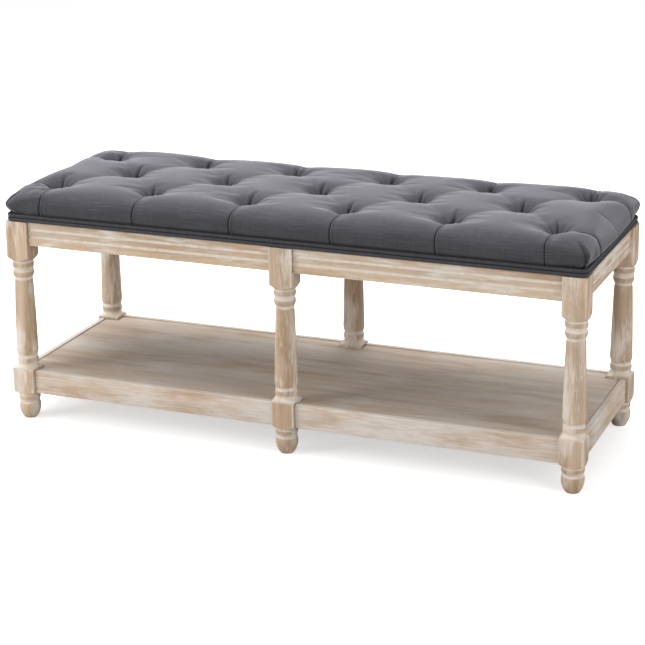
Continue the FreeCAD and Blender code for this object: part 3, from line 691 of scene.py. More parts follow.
@dataclass(frozen=True)
class WovenCloth(Finish):
    """Slate grey plain weave with a soft nap."""

    dark: Colour = colour(48, 48, 52)
    pale: Colour = colour(92, 92, 97)
    # Colour of the painted shade in creases.
    deep: Colour = colour(10, 10, 12)
    pitch: float = 0.0011
    turn: float = 0.0
    relief: float = 0.00016
    own_map: bool = True
    sheen: float = 0.85

    height_share = 0.25
    nap_size = 9.0
    nap_edge = (0.45, 0.7)
    nap_share = 0.10
    crease_shade_share = 0.95

    def surface(self, tree: Tree, seed: float) -> Surface:
        """Lay out the weave on the cloth's own coordinates, with painted shade in its creases.

        Args:
            tree: The material's tree.
            seed: Shifts the pattern.

        Returns:
            The surface.
        """
        cloth = tree.stretched(cloth_place(tree, self.own_map), turn=(0.0, 0.0, self.turn),
                               shift=(seed, seed, 0.0))
        weave = Weave.use(tree, Vector=cloth, Pitch=self.pitch)
        light = weave["Tone"] * (1 - self.height_share) + weave["Height"] * self.height_share
        body = tree.mix(light, self.dark, self.pale)
        nap = tree.step(tree.noise(tree.place(), self.nap_size), *self.nap_edge)
        body = tree.mix(nap * self.nap_share, body, self.pale)
        # Painted shade: the cloth is darkened towards the deep colour where the shade attribute is
        # set.
        crease_shade = Value(tree, tree.node("Attribute", attribute_name=CREASE_SHADE).outputs["Fac"])
        body = tree.mix(crease_shade * self.crease_shade_share, body, self.deep)
        return Surface(body, roughness=0.88, height=weave["Height"], strength=0.8,
                       depth=self.relief,
                       others={"Specular IOR Level": 0.18, "Sheen Weight": self.sheen,
                               "Sheen Roughness": 0.35, "Sheen Tint": colour(226, 226, 234)})


@dataclass(frozen=True)
class DustClothFinish(Finish):
    """Thin black cloth of pressed fibres with a grid of small bonded points."""

    black: Colour = colour(36, 36, 38)
    grey: Colour = colour(62, 62, 64)
    own_map: bool = True

    fibres = (240.0, 900.0, 1.0)
    point_count = 650.0
    scatter = 0.15
    point_edge = (0.12, 0.30)
    gap_share = 0.4
    fibre_relief = 0.5

    def surface(self, tree: Tree, seed: float) -> Surface:
        """Lay out fibres and points.

        Args:
            tree: The material's tree.
            seed: Shifts the pattern.

        Returns:
            The surface.
        """
        cloth = tree.stretched(cloth_place(tree, self.own_map), shift=(seed, seed, 0.0))
        fibres = tree.noise(tree.stretched(cloth, self.fibres), detail=4.0, roughness=0.7,
                            distortion=1.2)
        pressed = tree.step(tree.cells(cloth, self.point_count, self.scatter), *self.point_edge)
        body = tree.mix(fibres, self.black, self.grey)
        body = tree.mix((1.0 - pressed) * self.gap_share, body, self.black)
        return Surface(body, roughness=0.82, height=pressed + fibres * self.fibre_relief,
                       strength=0.6, depth=0.0002)


@dataclass(frozen=True)
class ZincSteel(Finish):
    """Zinc plated steel with a blotchy, slightly dulled surface."""

    bright: Colour = colour(196, 198, 200)
    dull: Colour = colour(150, 152, 152)

    scratches = (1500.0, 1500.0, 90.0)
    blotch_edge = (0.35, 0.65)
    bright_roughness = 0.24
    dull_roughness = 0.28

    def surface(self, tree: Tree, seed: float) -> Surface:
        """Lay out blotches and fine scratches.

        Args:
            tree: The material's tree.
            seed: Shifts the pattern.

        Returns:
            The surface.
        """
        place = tree.stretched(tree.place(), shift=(seed, seed, seed))
        blotches = tree.noise(place, scale=160.0, detail=4.0, roughness=0.6, distortion=0.5)
        scratches = tree.noise(tree.stretched(place, self.scratches), detail=2.0)
        body = tree.mix(tree.step(blotches, *self.blotch_edge), self.bright, self.dull)
        roughness = blotches * self.dull_roughness + self.bright_roughness
        return Surface(body, roughness, height=scratches, strength=0.3, depth=0.00005,
                       others={"Metallic": 1.0})


@dataclass(frozen=True)
class Plywood(Finish):
    """Birch board: pale rotary-cut faces and layered edges."""

    pale: Colour = colour(214, 190, 152)
    dark: Colour = colour(176, 146, 108)
    layer: float = 0.003

    figure_edge = (0.35, 0.7)
    face_edge = (0.4, 0.8)
    layer_edge = (-0.3, 0.3)
    layer_share = 0.7

    def surface(self, tree: Tree, seed: float) -> Surface:
        """Lay out the face's grain and the edge's layers.

        Args:
            tree: The material's tree.
            seed: Shifts the pattern.

        Returns:
            The surface.
        """
        place = tree.place()
        grain = Grain.use(tree, Vector=tree.stretched(place, shift=(seed, 0.0, 0.0)))
        layer = tree.maths("SINE", tree.split(place)[2] * (2 * math.pi / self.layer))
        upright = abs(tree.split(tree.node("NewGeometry").outputs["Normal"])[2])
        layers = (1.0 - tree.step(upright, *self.face_edge)) * tree.step(layer, *self.layer_edge)
        wood = tree.mix(tree.step(grain["Figure"], *self.figure_edge), self.pale, self.dark)
        wood = tree.mix(layers * self.layer_share, wood, self.dark)
        return Surface(wood, roughness=0.7, height=grain["Fibres"], strength=0.3, depth=0.0002)


@dataclass(frozen=True)
class Foam(Finish):
    """Cream foam with open cells."""

    cream: Colour = colour(226, 214, 176)
    deep: Colour = colour(190, 174, 132)

    cell_edge = (0.15, 0.6)
    stain_share = 0.25

    def surface(self, tree: Tree, seed: float) -> Surface:
        """Lay out cells and stains.

        Args:
            tree: The material's tree.
            seed: Shifts the pattern.

        Returns:
            The surface.
        """
        place = tree.stretched(tree.place(), shift=(seed, seed, seed))
        cells = tree.cells(place, scale=700.0)
        body = tree.mix(tree.step(cells, *self.cell_edge), self.deep, self.cream)
        body = tree.mix(tree.noise(place, scale=12.0) * self.stain_share, body, self.deep)
        return Surface(body, roughness=0.95, height=cells, strength=0.7, depth=0.0004)


@dataclass(frozen=True)
class TieCord(Finish):
    """Waxed upholstery cord, twisted from white strands."""

    pale: Colour = colour(214, 208, 194)
    deep: Colour = colour(150, 142, 126)
    lay: float = 0.0016

    strand_edge = (-0.9, 0.3)
    hair_share = 0.3

    def surface(self, tree: Tree, seed: float) -> Surface:
        """Lay out slanting strands with fine hairs.

        Args:
            tree: The material's tree.
            seed: Shifts the pattern.

        Returns:
            The surface.
        """
        place = tree.stretched(tree.place(), shift=(seed, 0.0, 0.0))
        x, y, z = tree.split(place)
        strand = tree.maths("SINE", (z + (x + y)) * (2 * math.pi / self.lay))
        body = tree.mix(tree.step(strand, *self.strand_edge), self.deep, self.pale)
        body = tree.mix(tree.noise(place, scale=2600.0) * self.hair_share, body, self.deep)
        return Surface(body, roughness=0.6, height=strand, strength=0.8, depth=0.0003)


def cloth_place(tree: Tree, own_map: bool) -> Socket:
    """Return a cloth's own coordinates, or the place on the object if it has none."""
    if own_map:
        return tree.node("UVMap", uv_map=CLOTH_MAP).outputs[0]
    return tree.place()


def grid_faces(rows: int, columns: int) -> np.ndarray:
    """Return the corners of the faces between rows and columns of points, four to a face."""
    index = np.arange(rows * columns).reshape(rows, columns)
    return np.stack([index[:-1, :-1], index[1:, :-1], index[1:, 1:], index[:-1, 1:]],
                    axis=-1).reshape(-1, 4)


def new_piece(name: str, points: np.ndarray, faces: np.ndarray,
              cloth: np.ndarray) -> bpy.types.Object:
    """Make a smooth piece of cloth.

    Args:
        name: The piece's name.
        points: Places in metres, in rows of three.
        faces: The corners of its faces, in rows of four.
        cloth: Where each corner of each face lies on the flat cloth, in metres.

    Returns:
        The piece, linked to the scene.
    """
    mesh = bpy.data.meshes.new(name)
    mesh.from_pydata(points.tolist(), [], faces.tolist())
    mesh.uv_layers.new(name=CLOTH_MAP).data.foreach_set("uv", cloth.ravel())
    mesh.shade_smooth()
    piece = bpy.data.objects.new(name, mesh)
    bpy.context.scene.collection.objects.link(piece)
    return piece


def paint_crease_shade(mesh: bpy.types.Mesh, crease_shade: np.ndarray) -> None:
    """Store how much painted shade each point of a mesh gets in creases, from 0 to 1."""
    mesh.attributes.new(CREASE_SHADE, "FLOAT", "POINT").data.foreach_set("value", crease_shade)


@dataclass(frozen=True)
class Valley:
    """How deep and wide a fold is, by the distance from its tuft. In millimetres."""

    depth: float
    deeper: float
    deep_reach: float
    width: float
    wider: float
    wide_reach: float
    power: float

    def press(self, across: np.ndarray, from_tuft: np.ndarray) -> np.ndarray:
        """Return how far the fold draws the cloth down.

        Args:
            across: Distances from the fold's line.
            from_tuft: Distances along it from its tuft.

        Returns:
            The depths.
        """
        depth = self.depth + self.deeper * np.exp(-from_tuft / self.deep_reach)
        width = self.width + self.wider * (1 - np.exp(-from_tuft / self.wide_reach))
        return depth * np.exp(-(across / width) ** self.power)


@dataclass(frozen=True)
class Gathers:
    """Small folds that run out from a tuft. In millimetres and degrees.

    Each ray holds its angle, its depth and its reach.
    """

    behind: tuple[Triple, ...] = ((98.0, 6.2, 58.0), (72.0, 3.0, 42.0))
    ahead: Triple = (270.0, 2.6, 42.0)
    ahead_front_row: Triple = (270.0, 0.6, 42.0)
    side_angle: float = 50.0
    side_depth: float = 2.6
    side_reach: float = 48.0
    loose: int = 6
    loose_depth: tuple[float, float] = (1.0, 2.4)
    loose_reach: tuple[float, float] = (26.0, 44.0)
    jitter: float = 9.0
    knot_depth: float = 4.0
    knot_reach: float = 4.5
    sway: float = 0.9
    sway_length: float = 7.0
    start: float = 3.0
    rise: float = 6.0
    width: float = 1.5
    widens: float = 0.055
    second_depth: float = 0.6
    second_place: float = 2.1

    def rays(self, front: bool, rng: np.random.Generator) -> list[Triple]:
        """Return the rays of one tuft.

        Args:
            front: Whether the tuft is in the front row.
            rng: Source of the loose rays.

        Returns:
            The rays, steady ones first.
        """
        rays = [*self.behind, self.ahead_front_row if front else self.ahead]
        rays += [(side * self.side_angle + half, self.side_depth, self.side_reach)
                 for side in (-1, 1) for half in (0, 180)]
        return rays + [(rng.uniform(0, 360), rng.uniform(*self.loose_depth),
                        rng.uniform(*self.loose_reach)) for _ in range(self.loose)]

    def lift(self, dx: np.ndarray, dy: np.ndarray, number: int, front: bool,
             rng: np.random.Generator) -> np.ndarray:
        """Return how far the gathers of one tuft lift the cloth round it.

        Args:
            dx: Distances from the tuft along the bench.
            dy: Distances from the tuft across the bench.
            number: The tuft's number.
            front: Whether the tuft is in the front row.
            rng: Source of their unevenness.

        Returns:
            The lift, mostly below 0.
        """
        away, turn = np.hypot(dx, dy), np.arctan2(dy, dx)
        change = -self.knot_depth * np.exp(-(away / self.knot_reach) ** 2)
        for angle, deep, reach in self.rays(front, rng):
            angle = math.radians(angle + rng.uniform(-self.jitter, self.jitter))
            off = (turn - angle + math.pi) % (2 * math.pi) - math.pi
            side = away * np.sin(off) + self.sway * np.sin(away / self.sway_length + number)
            fade = np.clip((away - self.start) / self.rise, 0, 1) * np.clip(1 - away / reach, 0, 1)
            width = self.width + away * self.widens
            second = groove(side - self.second_place * width, width)
            change += deep * (np.cos(off) > 0) * fade * (groove(side, width)
                                                         - self.second_depth * second)
        return change


@dataclass(frozen=True)
class Pleat:
    """A knife pleat: a groove, and a flap that lies beside it. In millimetres."""

    depth: float = 3.0
    width: float = 1.5
    flap: float = 6.5
    flap_height: float = 0.9
    flap_rise: float = 1.6
    flap_fall: float = 2.4
    foot_gap: float = 0.6
    foot_depth: float = 0.55
    foot_width: float = 1.3
    start: float = 3.0
    run: float = 8.0

    def lift(self, away: np.ndarray, out: np.ndarray) -> np.ndarray:
        """Return how far the pleat lifts the cloth.

        Args:
            away: Distances from its groove.
            out: Distances from its tuft towards the edge.

        Returns:
            The lift.
        """
        flap = (np.clip(away / self.flap_rise, 0, 1)
                * np.clip((self.flap - away) / self.flap_fall, 0, 1))
        foot = groove(away - self.flap - self.foot_gap, self.foot_width)
        fold = (self.depth * groove(away, self.width) + self.flap_height * flap
                + self.foot_depth * foot)
        return fold * np.clip((out - self.start) / self.run, 0, 1)


@dataclass(frozen=True)
class CornerFold:
    """The cover folded over itself down a corner. In millimetres."""

    start: float = 38.0
    run: float = 12.0
    depth: float = 4.2
    width: float = 2.4
    flap_height: float = 1.4
    flap_rise: float = 2.0
    flap_end: float = 11.0
    flap_fall: float = 5.0

    def lift(self, past_x: np.ndarray, past_y: np.ndarray) -> np.ndarray:
        """Return how far the fold lifts the cloth.

        Args:
            past_x: How far points lie past the level middle along the bench.
            past_y: The same across the bench.

        Returns:
            The lift.
        """
        across = (past_x - past_y) / math.sqrt(2)
        share = np.clip((np.minimum(past_x, past_y) - self.start) / self.run, 0, 1)
        flap = (np.clip(across / self.flap_rise, 0, 1)
                * np.clip((self.flap_end - across) / self.flap_fall, 0, 1))
        return share * (self.depth * groove(across, self.width) + self.flap_height * flap)


@dataclass(frozen=True)
class Stuffing:
    """A cloth simulation that blows the cover up a little. Lengths in millimetres."""

    pressure: float = 3.0
    frames: int = 20
    quality: int = 4
    mass: float = 0.25
    stretch: float = 12.0
    shear: float = 5.0
    bending: float = 0.6
    pinned_below: float = 440.5
    pin_reach: float = 5.0
    most_moved: float = 6.0

    def swell(self, piece: bpy.types.Object, tufts: np.ndarray) -> None:
        """Blow the cloth up between its tufts and its seam, and keep the shape it takes.

        Args:
            piece: The cover.
            tufts: Places where it is held down.
        """
        mesh = piece.data
        before = places(mesh)
        held = before[:, 2] < self.pinned_below / 1000
        for x, y in tufts / 1000:
            held |= np.hypot(before[:, 0] - x, before[:, 1] - y) < self.pin_reach / 1000
        pins = piece.vertex_groups.new(name="sewn")
        pins.add(np.nonzero(held)[0].tolist(), 1.0, "REPLACE")
        cloth = piece.modifiers.new("cloth", "CLOTH")
        for name, value in (("vertex_group_mass", pins.name), ("quality", self.quality),
                            ("mass", self.mass), ("tension_stiffness", self.stretch),
                            ("compression_stiffness", self.stretch),
                            ("shear_stiffness", self.shear), ("bending_stiffness", self.bending),
                            ("use_pressure", True), ("uniform_pressure_force", self.pressure)):
            setattr(cloth.settings, name, value)
        cloth.settings.effector_weights.gravity = 0.0
        cloth.collision_settings.use_collision = False
        cloth.point_cache.frame_start = 1
        cloth.point_cache.frame_end = self.frames
        scene = bpy.context.scene
        for number in range(1, self.frames + 1):
            scene.frame_set(number)
        posed = piece.evaluated_get(bpy.context.evaluated_depsgraph_get())
        moved = places(posed.data) - before
        piece.modifiers.remove(cloth)
        scene.frame_set(1)
        size = np.linalg.norm(moved, axis=1, keepdims=True) * 1000
        log.info("cloth moved %.1f mm at most, %.1f mm on average", size.max(), size.mean())
        moved *= self.most_moved * np.tanh(size / self.most_moved) / np.maximum(size, 1e-6)
        mesh.vertices.foreach_set("co", (before + moved).ravel())
        mesh.update()


def groove(away: np.ndarray, width: float | np.ndarray) -> np.ndarray:
    """Return a sharp groove at 0, one deep."""
    return -np.exp(-(away / width) ** 2)


def places(mesh: bpy.types.Mesh) -> np.ndarray:
    """Read the places of a mesh's points.

    Args:
        mesh: The mesh.

    Returns:
        The places in metres, in rows of three.
    """
    flat = np.zeros(len(mesh.vertices) * 3)
    mesh.vertices.foreach_get("co", flat)
    return flat.reshape(-1, 3)


def corners(mesh: bpy.types.Mesh) -> np.ndarray:
    """Read which point lies at each corner of a mesh's faces.

    Args:
        mesh: The mesh.

    Returns:
        The points' numbers.
    """
    found = np.zeros(len(mesh.loops), np.int32)
    mesh.loops.foreach_get("vertex_index", found)
    return found


@dataclass
class Cushion:
    """The padded seat: cloth drawn down at 17 tufts, pleated to its edges. In millimetres."""

    half_length: float = 604.0
    half_depth: float = 214.0
    crown: float = 490.5
    edge_run: float = 66.0
    edge_drop: float = 31.0
    edge_power: float = 2.1
    wall: tuple[tuple[float, float], ...] = (
        (66.2, 456.0), (65.6, 450.0), (64.2, 445.0), (61.2, 441.0), (56.0, 438.4),
        (53.4, 436.0), (52.8, 431.0), (52.6, 424.6), (50.0, 423.0), (32.0, 423.0),
    )
    pitch: float = 208.0
    row: float = 125.0
    tuft_depth: float = 38.0
    tuft_reach: float = 50.0
    blend: float = 3.0
    diagonal: Valley = Valley(2.8, 12.0, 20.0, 6.5, 9.0, 30.0, 1.35)
    side_valley: Valley = Valley(6.2, 8.0, 18.0, 19.0, 0.0, 1.0, 1.25)
    end_valley: Valley = Valley(6.2, 8.0, 18.0, 18.0, 0.0, 1.0, 1.25)
    round_power: float = 2.6
    square_power: float = 8.0
    square_reach: float = 75.0
    fade_start: float = 20.0
    fade_run: float = 62.0
    lump_heights: tuple[float, float] = (0.9, 0.7)
    lump_lengths: tuple[float, float, float, float] = (37.0, 61.0, 23.0, 71.0)
    corner_reach: float = 60.0
    slack: float = 3.0
    front_left_slack: float = 9.0
    slack_above: float = 440.0
    slack_rise: float = 30.0
    tuck: float = 5.0
    tuck_below: float = 463.0
    tuck_rise: float = 16.0
    tuck_end: float = 438.0
    spacing: tuple[float, float] = (6.8, 6.2)
    fine: float = 2.0
    fine_reach: float = 10.0
    tries: int = 8001
    edge_points: int = 31
    stuffing: Stuffing = Stuffing()
    pleat: Pleat = Pleat()
    side_sway: float = 1.2
    side_sway_length: float = 23.0
    end_sway: float = 1.5
    end_sway_length: float = 27.0
    corner_fold: CornerFold = CornerFold()
    gathers: Gathers = Gathers()
    near_tuft: float = 75.0
    seam: float = 438.5
    seam_run: float = 4.0
    # Painted shade in folds, round the tufts and on the cushion's wall below a set height just
    # above the welt.
    fold_shade: float = 0.75
    fold_shade_start: float = 0.5
    fold_shade_run: float = 2.6
    tuft_shade: float = 0.80
    tuft_shade_reach: float = 13.0
    hem_shade: float = 444.5
    seed: int = 11

    def tufts(self) -> np.ndarray:
        """Return the places of the tufts: front row, back row, then the middle row."""
        found = [((k + 0.5) * self.pitch, y) for y in (-self.row, self.row) for k in range(-3, 3)]
        found += [(k * self.pitch, 0.0) for k in range(-2, 3)]
        return np.array(found)

    def pleated(self) -> list[tuple[float, float, bool]]:
        """Return the tufts of the outer rows, and whether each also has a pleat to the end."""
        return [(x, y, abs(x) > 2 * self.pitch) for x, y in self.tufts() if y]

    def folds(self) -> list[tuple[np.ndarray, np.ndarray]]:
        """Return the diagonal folds that join each middle tuft to its four neighbours."""
        return [(np.array([k * self.pitch, 0.0]), np.array([(k + side) * self.pitch, y]))
                for k in range(-2, 3) for side in (-0.5, 0.5) for y in (-self.row, self.row)]

    def lines(self, limit: float, marks: list[float], coarse: float) -> np.ndarray:
        """Space grid lines from -limit to limit, closer near the marks.

        Args:
            limit: Half the length to divide.
            marks: Where the lines lie close together.
            coarse: Spacing away from the marks.

        Returns:
            The places of the lines.
        """
        tried = np.linspace(-limit, limit, self.tries)
        near = np.min(np.abs(tried[:, None] - np.array(marks)[None, :]), axis=1)
        spacing = coarse - (coarse - self.fine) * np.exp(-(near / self.fine_reach) ** 2)
        count = np.concatenate([[0.0], np.cumsum(np.diff(tried) / spacing[:-1])])
        steps = int(round(count[-1]))
        return np.interp(np.linspace(0, count[-1], steps + 1), count, tried)

    def profile(self) -> tuple[np.ndarray, np.ndarray, np.ndarray]:
        """Return the edge seen from the end: cloth length, run outwards and height."""
        angle = np.linspace(0, math.pi / 2, self.edge_points)
        power = 2 / self.edge_power
        run = self.edge_run * np.sin(angle) ** power
        rise = self.crown - self.edge_drop + self.edge_drop * np.cos(angle) ** power
        run = np.concatenate([run, [r for r, _ in self.wall]])
        rise = np.concatenate([rise, [z for _, z in self.wall]])
        length = np.concatenate([[0.0], np.cumsum(np.hypot(np.diff(run), np.diff(rise)))])
        return length, run, rise

    def sunk(self, x: np.ndarray, y: np.ndarray) -> np.ndarray:
        """Return how far tufts, diagonal folds and pleats draw the top down.

        Args:
            x: Places along the bench.
            y: Places across the bench.

        Returns:
            The depths.
        """
        total = np.zeros_like(x)
        for tx, ty in self.tufts():
            bowl = np.clip(1 - np.hypot(x - tx, y - ty) / self.tuft_reach, 0, 1) ** 2
            total += (self.tuft_depth * bowl) ** self.blend
        for start, end in self.folds():
            size = np.hypot(*(end - start))
            unit = (end - start) / size
            along = (x - start[0]) * unit[0] + (y - start[1]) * unit[1]
            across = (x - start[0]) * -unit[1] + (y - start[1]) * unit[0]
            inside = np.clip(along, 0, size)
            away = np.hypot(across, along - inside)
            total += self.diagonal.press(away, np.minimum(inside, size - inside)) ** self.blend
        for tx, ty, end in self.pleated():
            beyond = np.where(np.sign(ty) * y < abs(ty), np.abs(y - ty), 0.0)
            away = np.hypot(x - tx, beyond)
            total += self.side_valley.press(away, np.abs(y - ty)) ** self.blend
            if end:
                beyond = np.where(np.sign(tx) * x < abs(tx), np.abs(x - tx), 0.0)
                away = np.hypot(y - ty, beyond)
                total += self.end_valley.press(away, np.abs(x - tx)) ** self.blend
        return total ** (1 / self.blend)

    def lumps(self, x: np.ndarray, y: np.ndarray) -> np.ndarray:
        """Return the slight lumps of the wadding at places along and across the bench."""
        (first, second), (a, b, c, d) = self.lump_heights, self.lump_lengths
        return first * np.sin(x / a + 2 * np.sin(y / b)) + second * np.sin(y / c + x / d)

    def past_edge(self, cloth: np.ndarray) -> tuple[np.ndarray, np.ndarray]:
        """Return how far points of the flat cloth lie past its level middle.

        Args:
            cloth: Distances along and across the cloth from its middle, in rows of two.

        Returns:
            The distances along and across the bench, 0 within the middle.
        """
        inner = np.array([self.half_length, self.half_depth]) - self.edge_run
        past = np.maximum(np.abs(cloth) - inner, 0)
        return past[:, 0], past[:, 1]

    def outwards(self, past_x: np.ndarray, past_y: np.ndarray,
                 out: np.ndarray) -> tuple[np.ndarray, np.ndarray]:
        """Split the way outwards in two, and round the corners.

        Args:
            past_x: How far the cloth lies past its middle along the bench.
            past_y: The same across the bench.
            out: How far outside the level middle each point comes to lie.

        Returns:
            The distances outwards along and across the bench.
        """
        ring = np.maximum(past_x, past_y)
        safe = np.maximum(ring, 1e-6)
        angle = np.where(past_x >= past_y, past_y / safe, 2 - past_x / safe) * math.pi / 4
        power = self.round_power + self.square_power * np.clip(ring / self.square_reach, 0, 1)
        cos, sin = np.abs(np.cos(angle)), np.abs(np.sin(angle))
        square = (cos ** power + sin ** power) ** (1 / power)
        corner = (past_x > 0) & (past_y > 0)
        return (np.where(corner, out * cos / square, np.where(past_x > 0, out, 0)),
                np.where(corner, out * sin / square, np.where(past_y > 0, out, 0)))

    def shape(self, cloth: np.ndarray) -> np.ndarray:
        """Place points of the flat cloth on the cushion.

        Args:
            cloth: Distances along and across the cloth from its middle, in rows of two.

        Returns:
            Their places.
        """
        length, run, rise = self.profile()
        past_x, past_y = self.past_edge(cloth)
        ring = np.maximum(past_x, past_y)
        out_x, out_y = self.outwards(past_x, past_y, np.interp(ring, length, run))
        inner_x, inner_y = self.half_length - self.edge_run, self.half_depth - self.edge_run
        x = np.sign(cloth[:, 0]) * (np.minimum(np.abs(cloth[:, 0]), inner_x) + out_x)
        y = np.sign(cloth[:, 1]) * (np.minimum(np.abs(cloth[:, 1]), inner_y) + out_y)
        top = 1 - np.clip((ring - self.fade_start) / self.fade_run, 0, 1)
        top = top * top * (3 - 2 * top)
        level = np.interp(ring, length, rise) - self.sunk(x, y) * top + top * self.lumps(x, y)
        share = np.clip(np.minimum(past_x, past_y) / self.corner_reach, 0, 1)
        slack = np.where((x < 0) & (y < 0), self.front_left_slack, self.slack) * share
        slack *= np.clip((level - self.slack_above) / self.slack_rise, 0, 1)
        tucked = self.tuck * share * np.clip((self.tuck_below - level) / self.tuck_rise, 0, 1)
        tucked *= level > self.tuck_end
        x -= np.sign(x) * tucked
        y -= np.sign(y) * tucked
        return np.stack([x, y, level - slack], axis=1)

    def grid(self) -> bpy.types.Object:
        """Make the cushion's mesh from a grid of the flat cloth, and keep the cloth's places."""
        length = self.profile()[0]
        reach_x = self.half_length - self.edge_run + length[-1]
        reach_y = self.half_depth - self.edge_run + length[-1]
        xs = self.lines(reach_x, [k * self.pitch / 2 for k in range(-5, 6)], self.spacing[0])
        ys = self.lines(reach_y, [-self.row, 0.0, self.row], self.spacing[1])
        cloth = np.stack(np.meshgrid(xs, ys, indexing="ij"), axis=-1).reshape(-1, 2)
        faces = grid_faces(len(xs), len(ys))
        return new_piece("seat_cushion", self.shape(cloth) / 1000, faces,
                         cloth[faces.ravel()] / 1000)

    def pleats(self, x: np.ndarray, y: np.ndarray) -> np.ndarray:
        """Return how far the pleats from the outer tufts to the edges lift the cloth.

        Args:
            x: Distances along the flat cloth.
            y: Distances across it.

        Returns:
            The lift.
        """
        lift = np.zeros(len(x))
        for tx, ty, end in self.pleated():
            out, along = np.sign(ty) * (y - ty), np.sign(tx) * (x - tx)
            sway = self.side_sway * np.sin(out / self.side_sway_length + tx)
            lift += self.pleat.lift(x - tx + sway, out)
            if end:
                sway = self.end_sway * np.sin(along / self.end_sway_length + ty)
                lift += self.pleat.lift(sway - out, along)
        return lift

    def creases(self, cloth: np.ndarray) -> np.ndarray:
        """Return how far pleats, corner folds and gathers lift the cloth.

        Args:
            cloth: Distances along and across the flat cloth, in rows of two.

        Returns:
            The lift.
        """
        lift = self.pleats(*cloth.T) + self.corner_fold.lift(*self.past_edge(cloth))
        rng = np.random.default_rng(self.seed)
        for number, (tx, ty) in enumerate(self.tufts()):
            dx, dy = cloth[:, 0] - tx, cloth[:, 1] - ty
            near = np.hypot(dx, dy) < self.near_tuft
            lift[near] += self.gathers.lift(dx[near], dy[near], number, ty < 0, rng)
        return lift

    def sew(self, piece: bpy.types.Object) -> None:
        """Refine the mesh once, press pleats, folds and gathers into it, and mark their painted
        shade.

        Args:
            piece: The cushion, still open underneath.
        """
        finer = piece.modifiers.new("finer", "SUBSURF")
        finer.levels = finer.render_levels = 1
        bpy.ops.object.select_all(action="DESELECT")
        bpy.context.view_layer.objects.active = piece
        piece.select_set(True)
        bpy.ops.object.modifier_apply(modifier="finer")
        mesh = piece.data
        found = corners(mesh)
        flat = np.zeros(len(found) * 2)
        mesh.uv_layers[CLOTH_MAP].data.foreach_get("uv", flat)
        cloth = np.zeros((len(mesh.vertices), 2))
        cloth[found] = flat.reshape(-1, 2) * 1000
        normals = np.zeros(len(mesh.vertices) * 3)
        mesh.vertex_normals.foreach_get("vector", normals)
        points = places(mesh)
        run = self.seam_run / 1000
        lift = self.creases(cloth) * np.clip((points[:, 2] - self.seam / 1000) / run, 0, 1)
        points += normals.reshape(-1, 3) * lift[:, None] / 1000
        mesh.vertices.foreach_set("co", points.ravel())
        self.close(mesh, cloth)
        # Painted shade: points sunk by pleats and gathers, points round each tuft and the low wall
        # above the welt get darker cloth.
        shade = np.clip((-lift - self.fold_shade_start) / self.fold_shade_run, 0, 1)
        crease_shade = self.fold_shade * shade
        for place in self.tufts():
            away = np.hypot(*(cloth - place).T) / self.tuft_shade_reach
            crease_shade = np.maximum(crease_shade, self.tuft_shade * np.exp(-away ** 2))
        hem_shade = np.clip((self.hem_shade / 1000 - points[:, 2]) / run, 0, 1)
        paint_crease_shade(mesh, np.maximum(crease_shade, hem_shade))

    @staticmethod
    def close(mesh: bpy.types.Mesh, cloth: np.ndarray) -> None:
        """Close the cushion underneath with one flat face.

        Args:
            mesh: The cushion's mesh.
            cloth: Where each of its points lies on the flat cloth.
        """
        whole = bmesh.new()
        whole.from_mesh(mesh)
        bmesh.ops.holes_fill(whole, edges=[e for e in whole.edges if e.is_boundary], sides=0)
        whole.to_mesh(mesh)
        whole.free()
        flat = (cloth[corners(mesh)] / 1000).ravel()
        mesh.uv_layers[CLOTH_MAP].data.foreach_set("uv", flat)
        mesh.shade_smooth()

    def build(self) -> bpy.types.Object:
        """Make the cushion."""
        piece = self.grid()
        self.stuffing.swell(piece, self.tufts())
        self.sew(piece)
        return piece


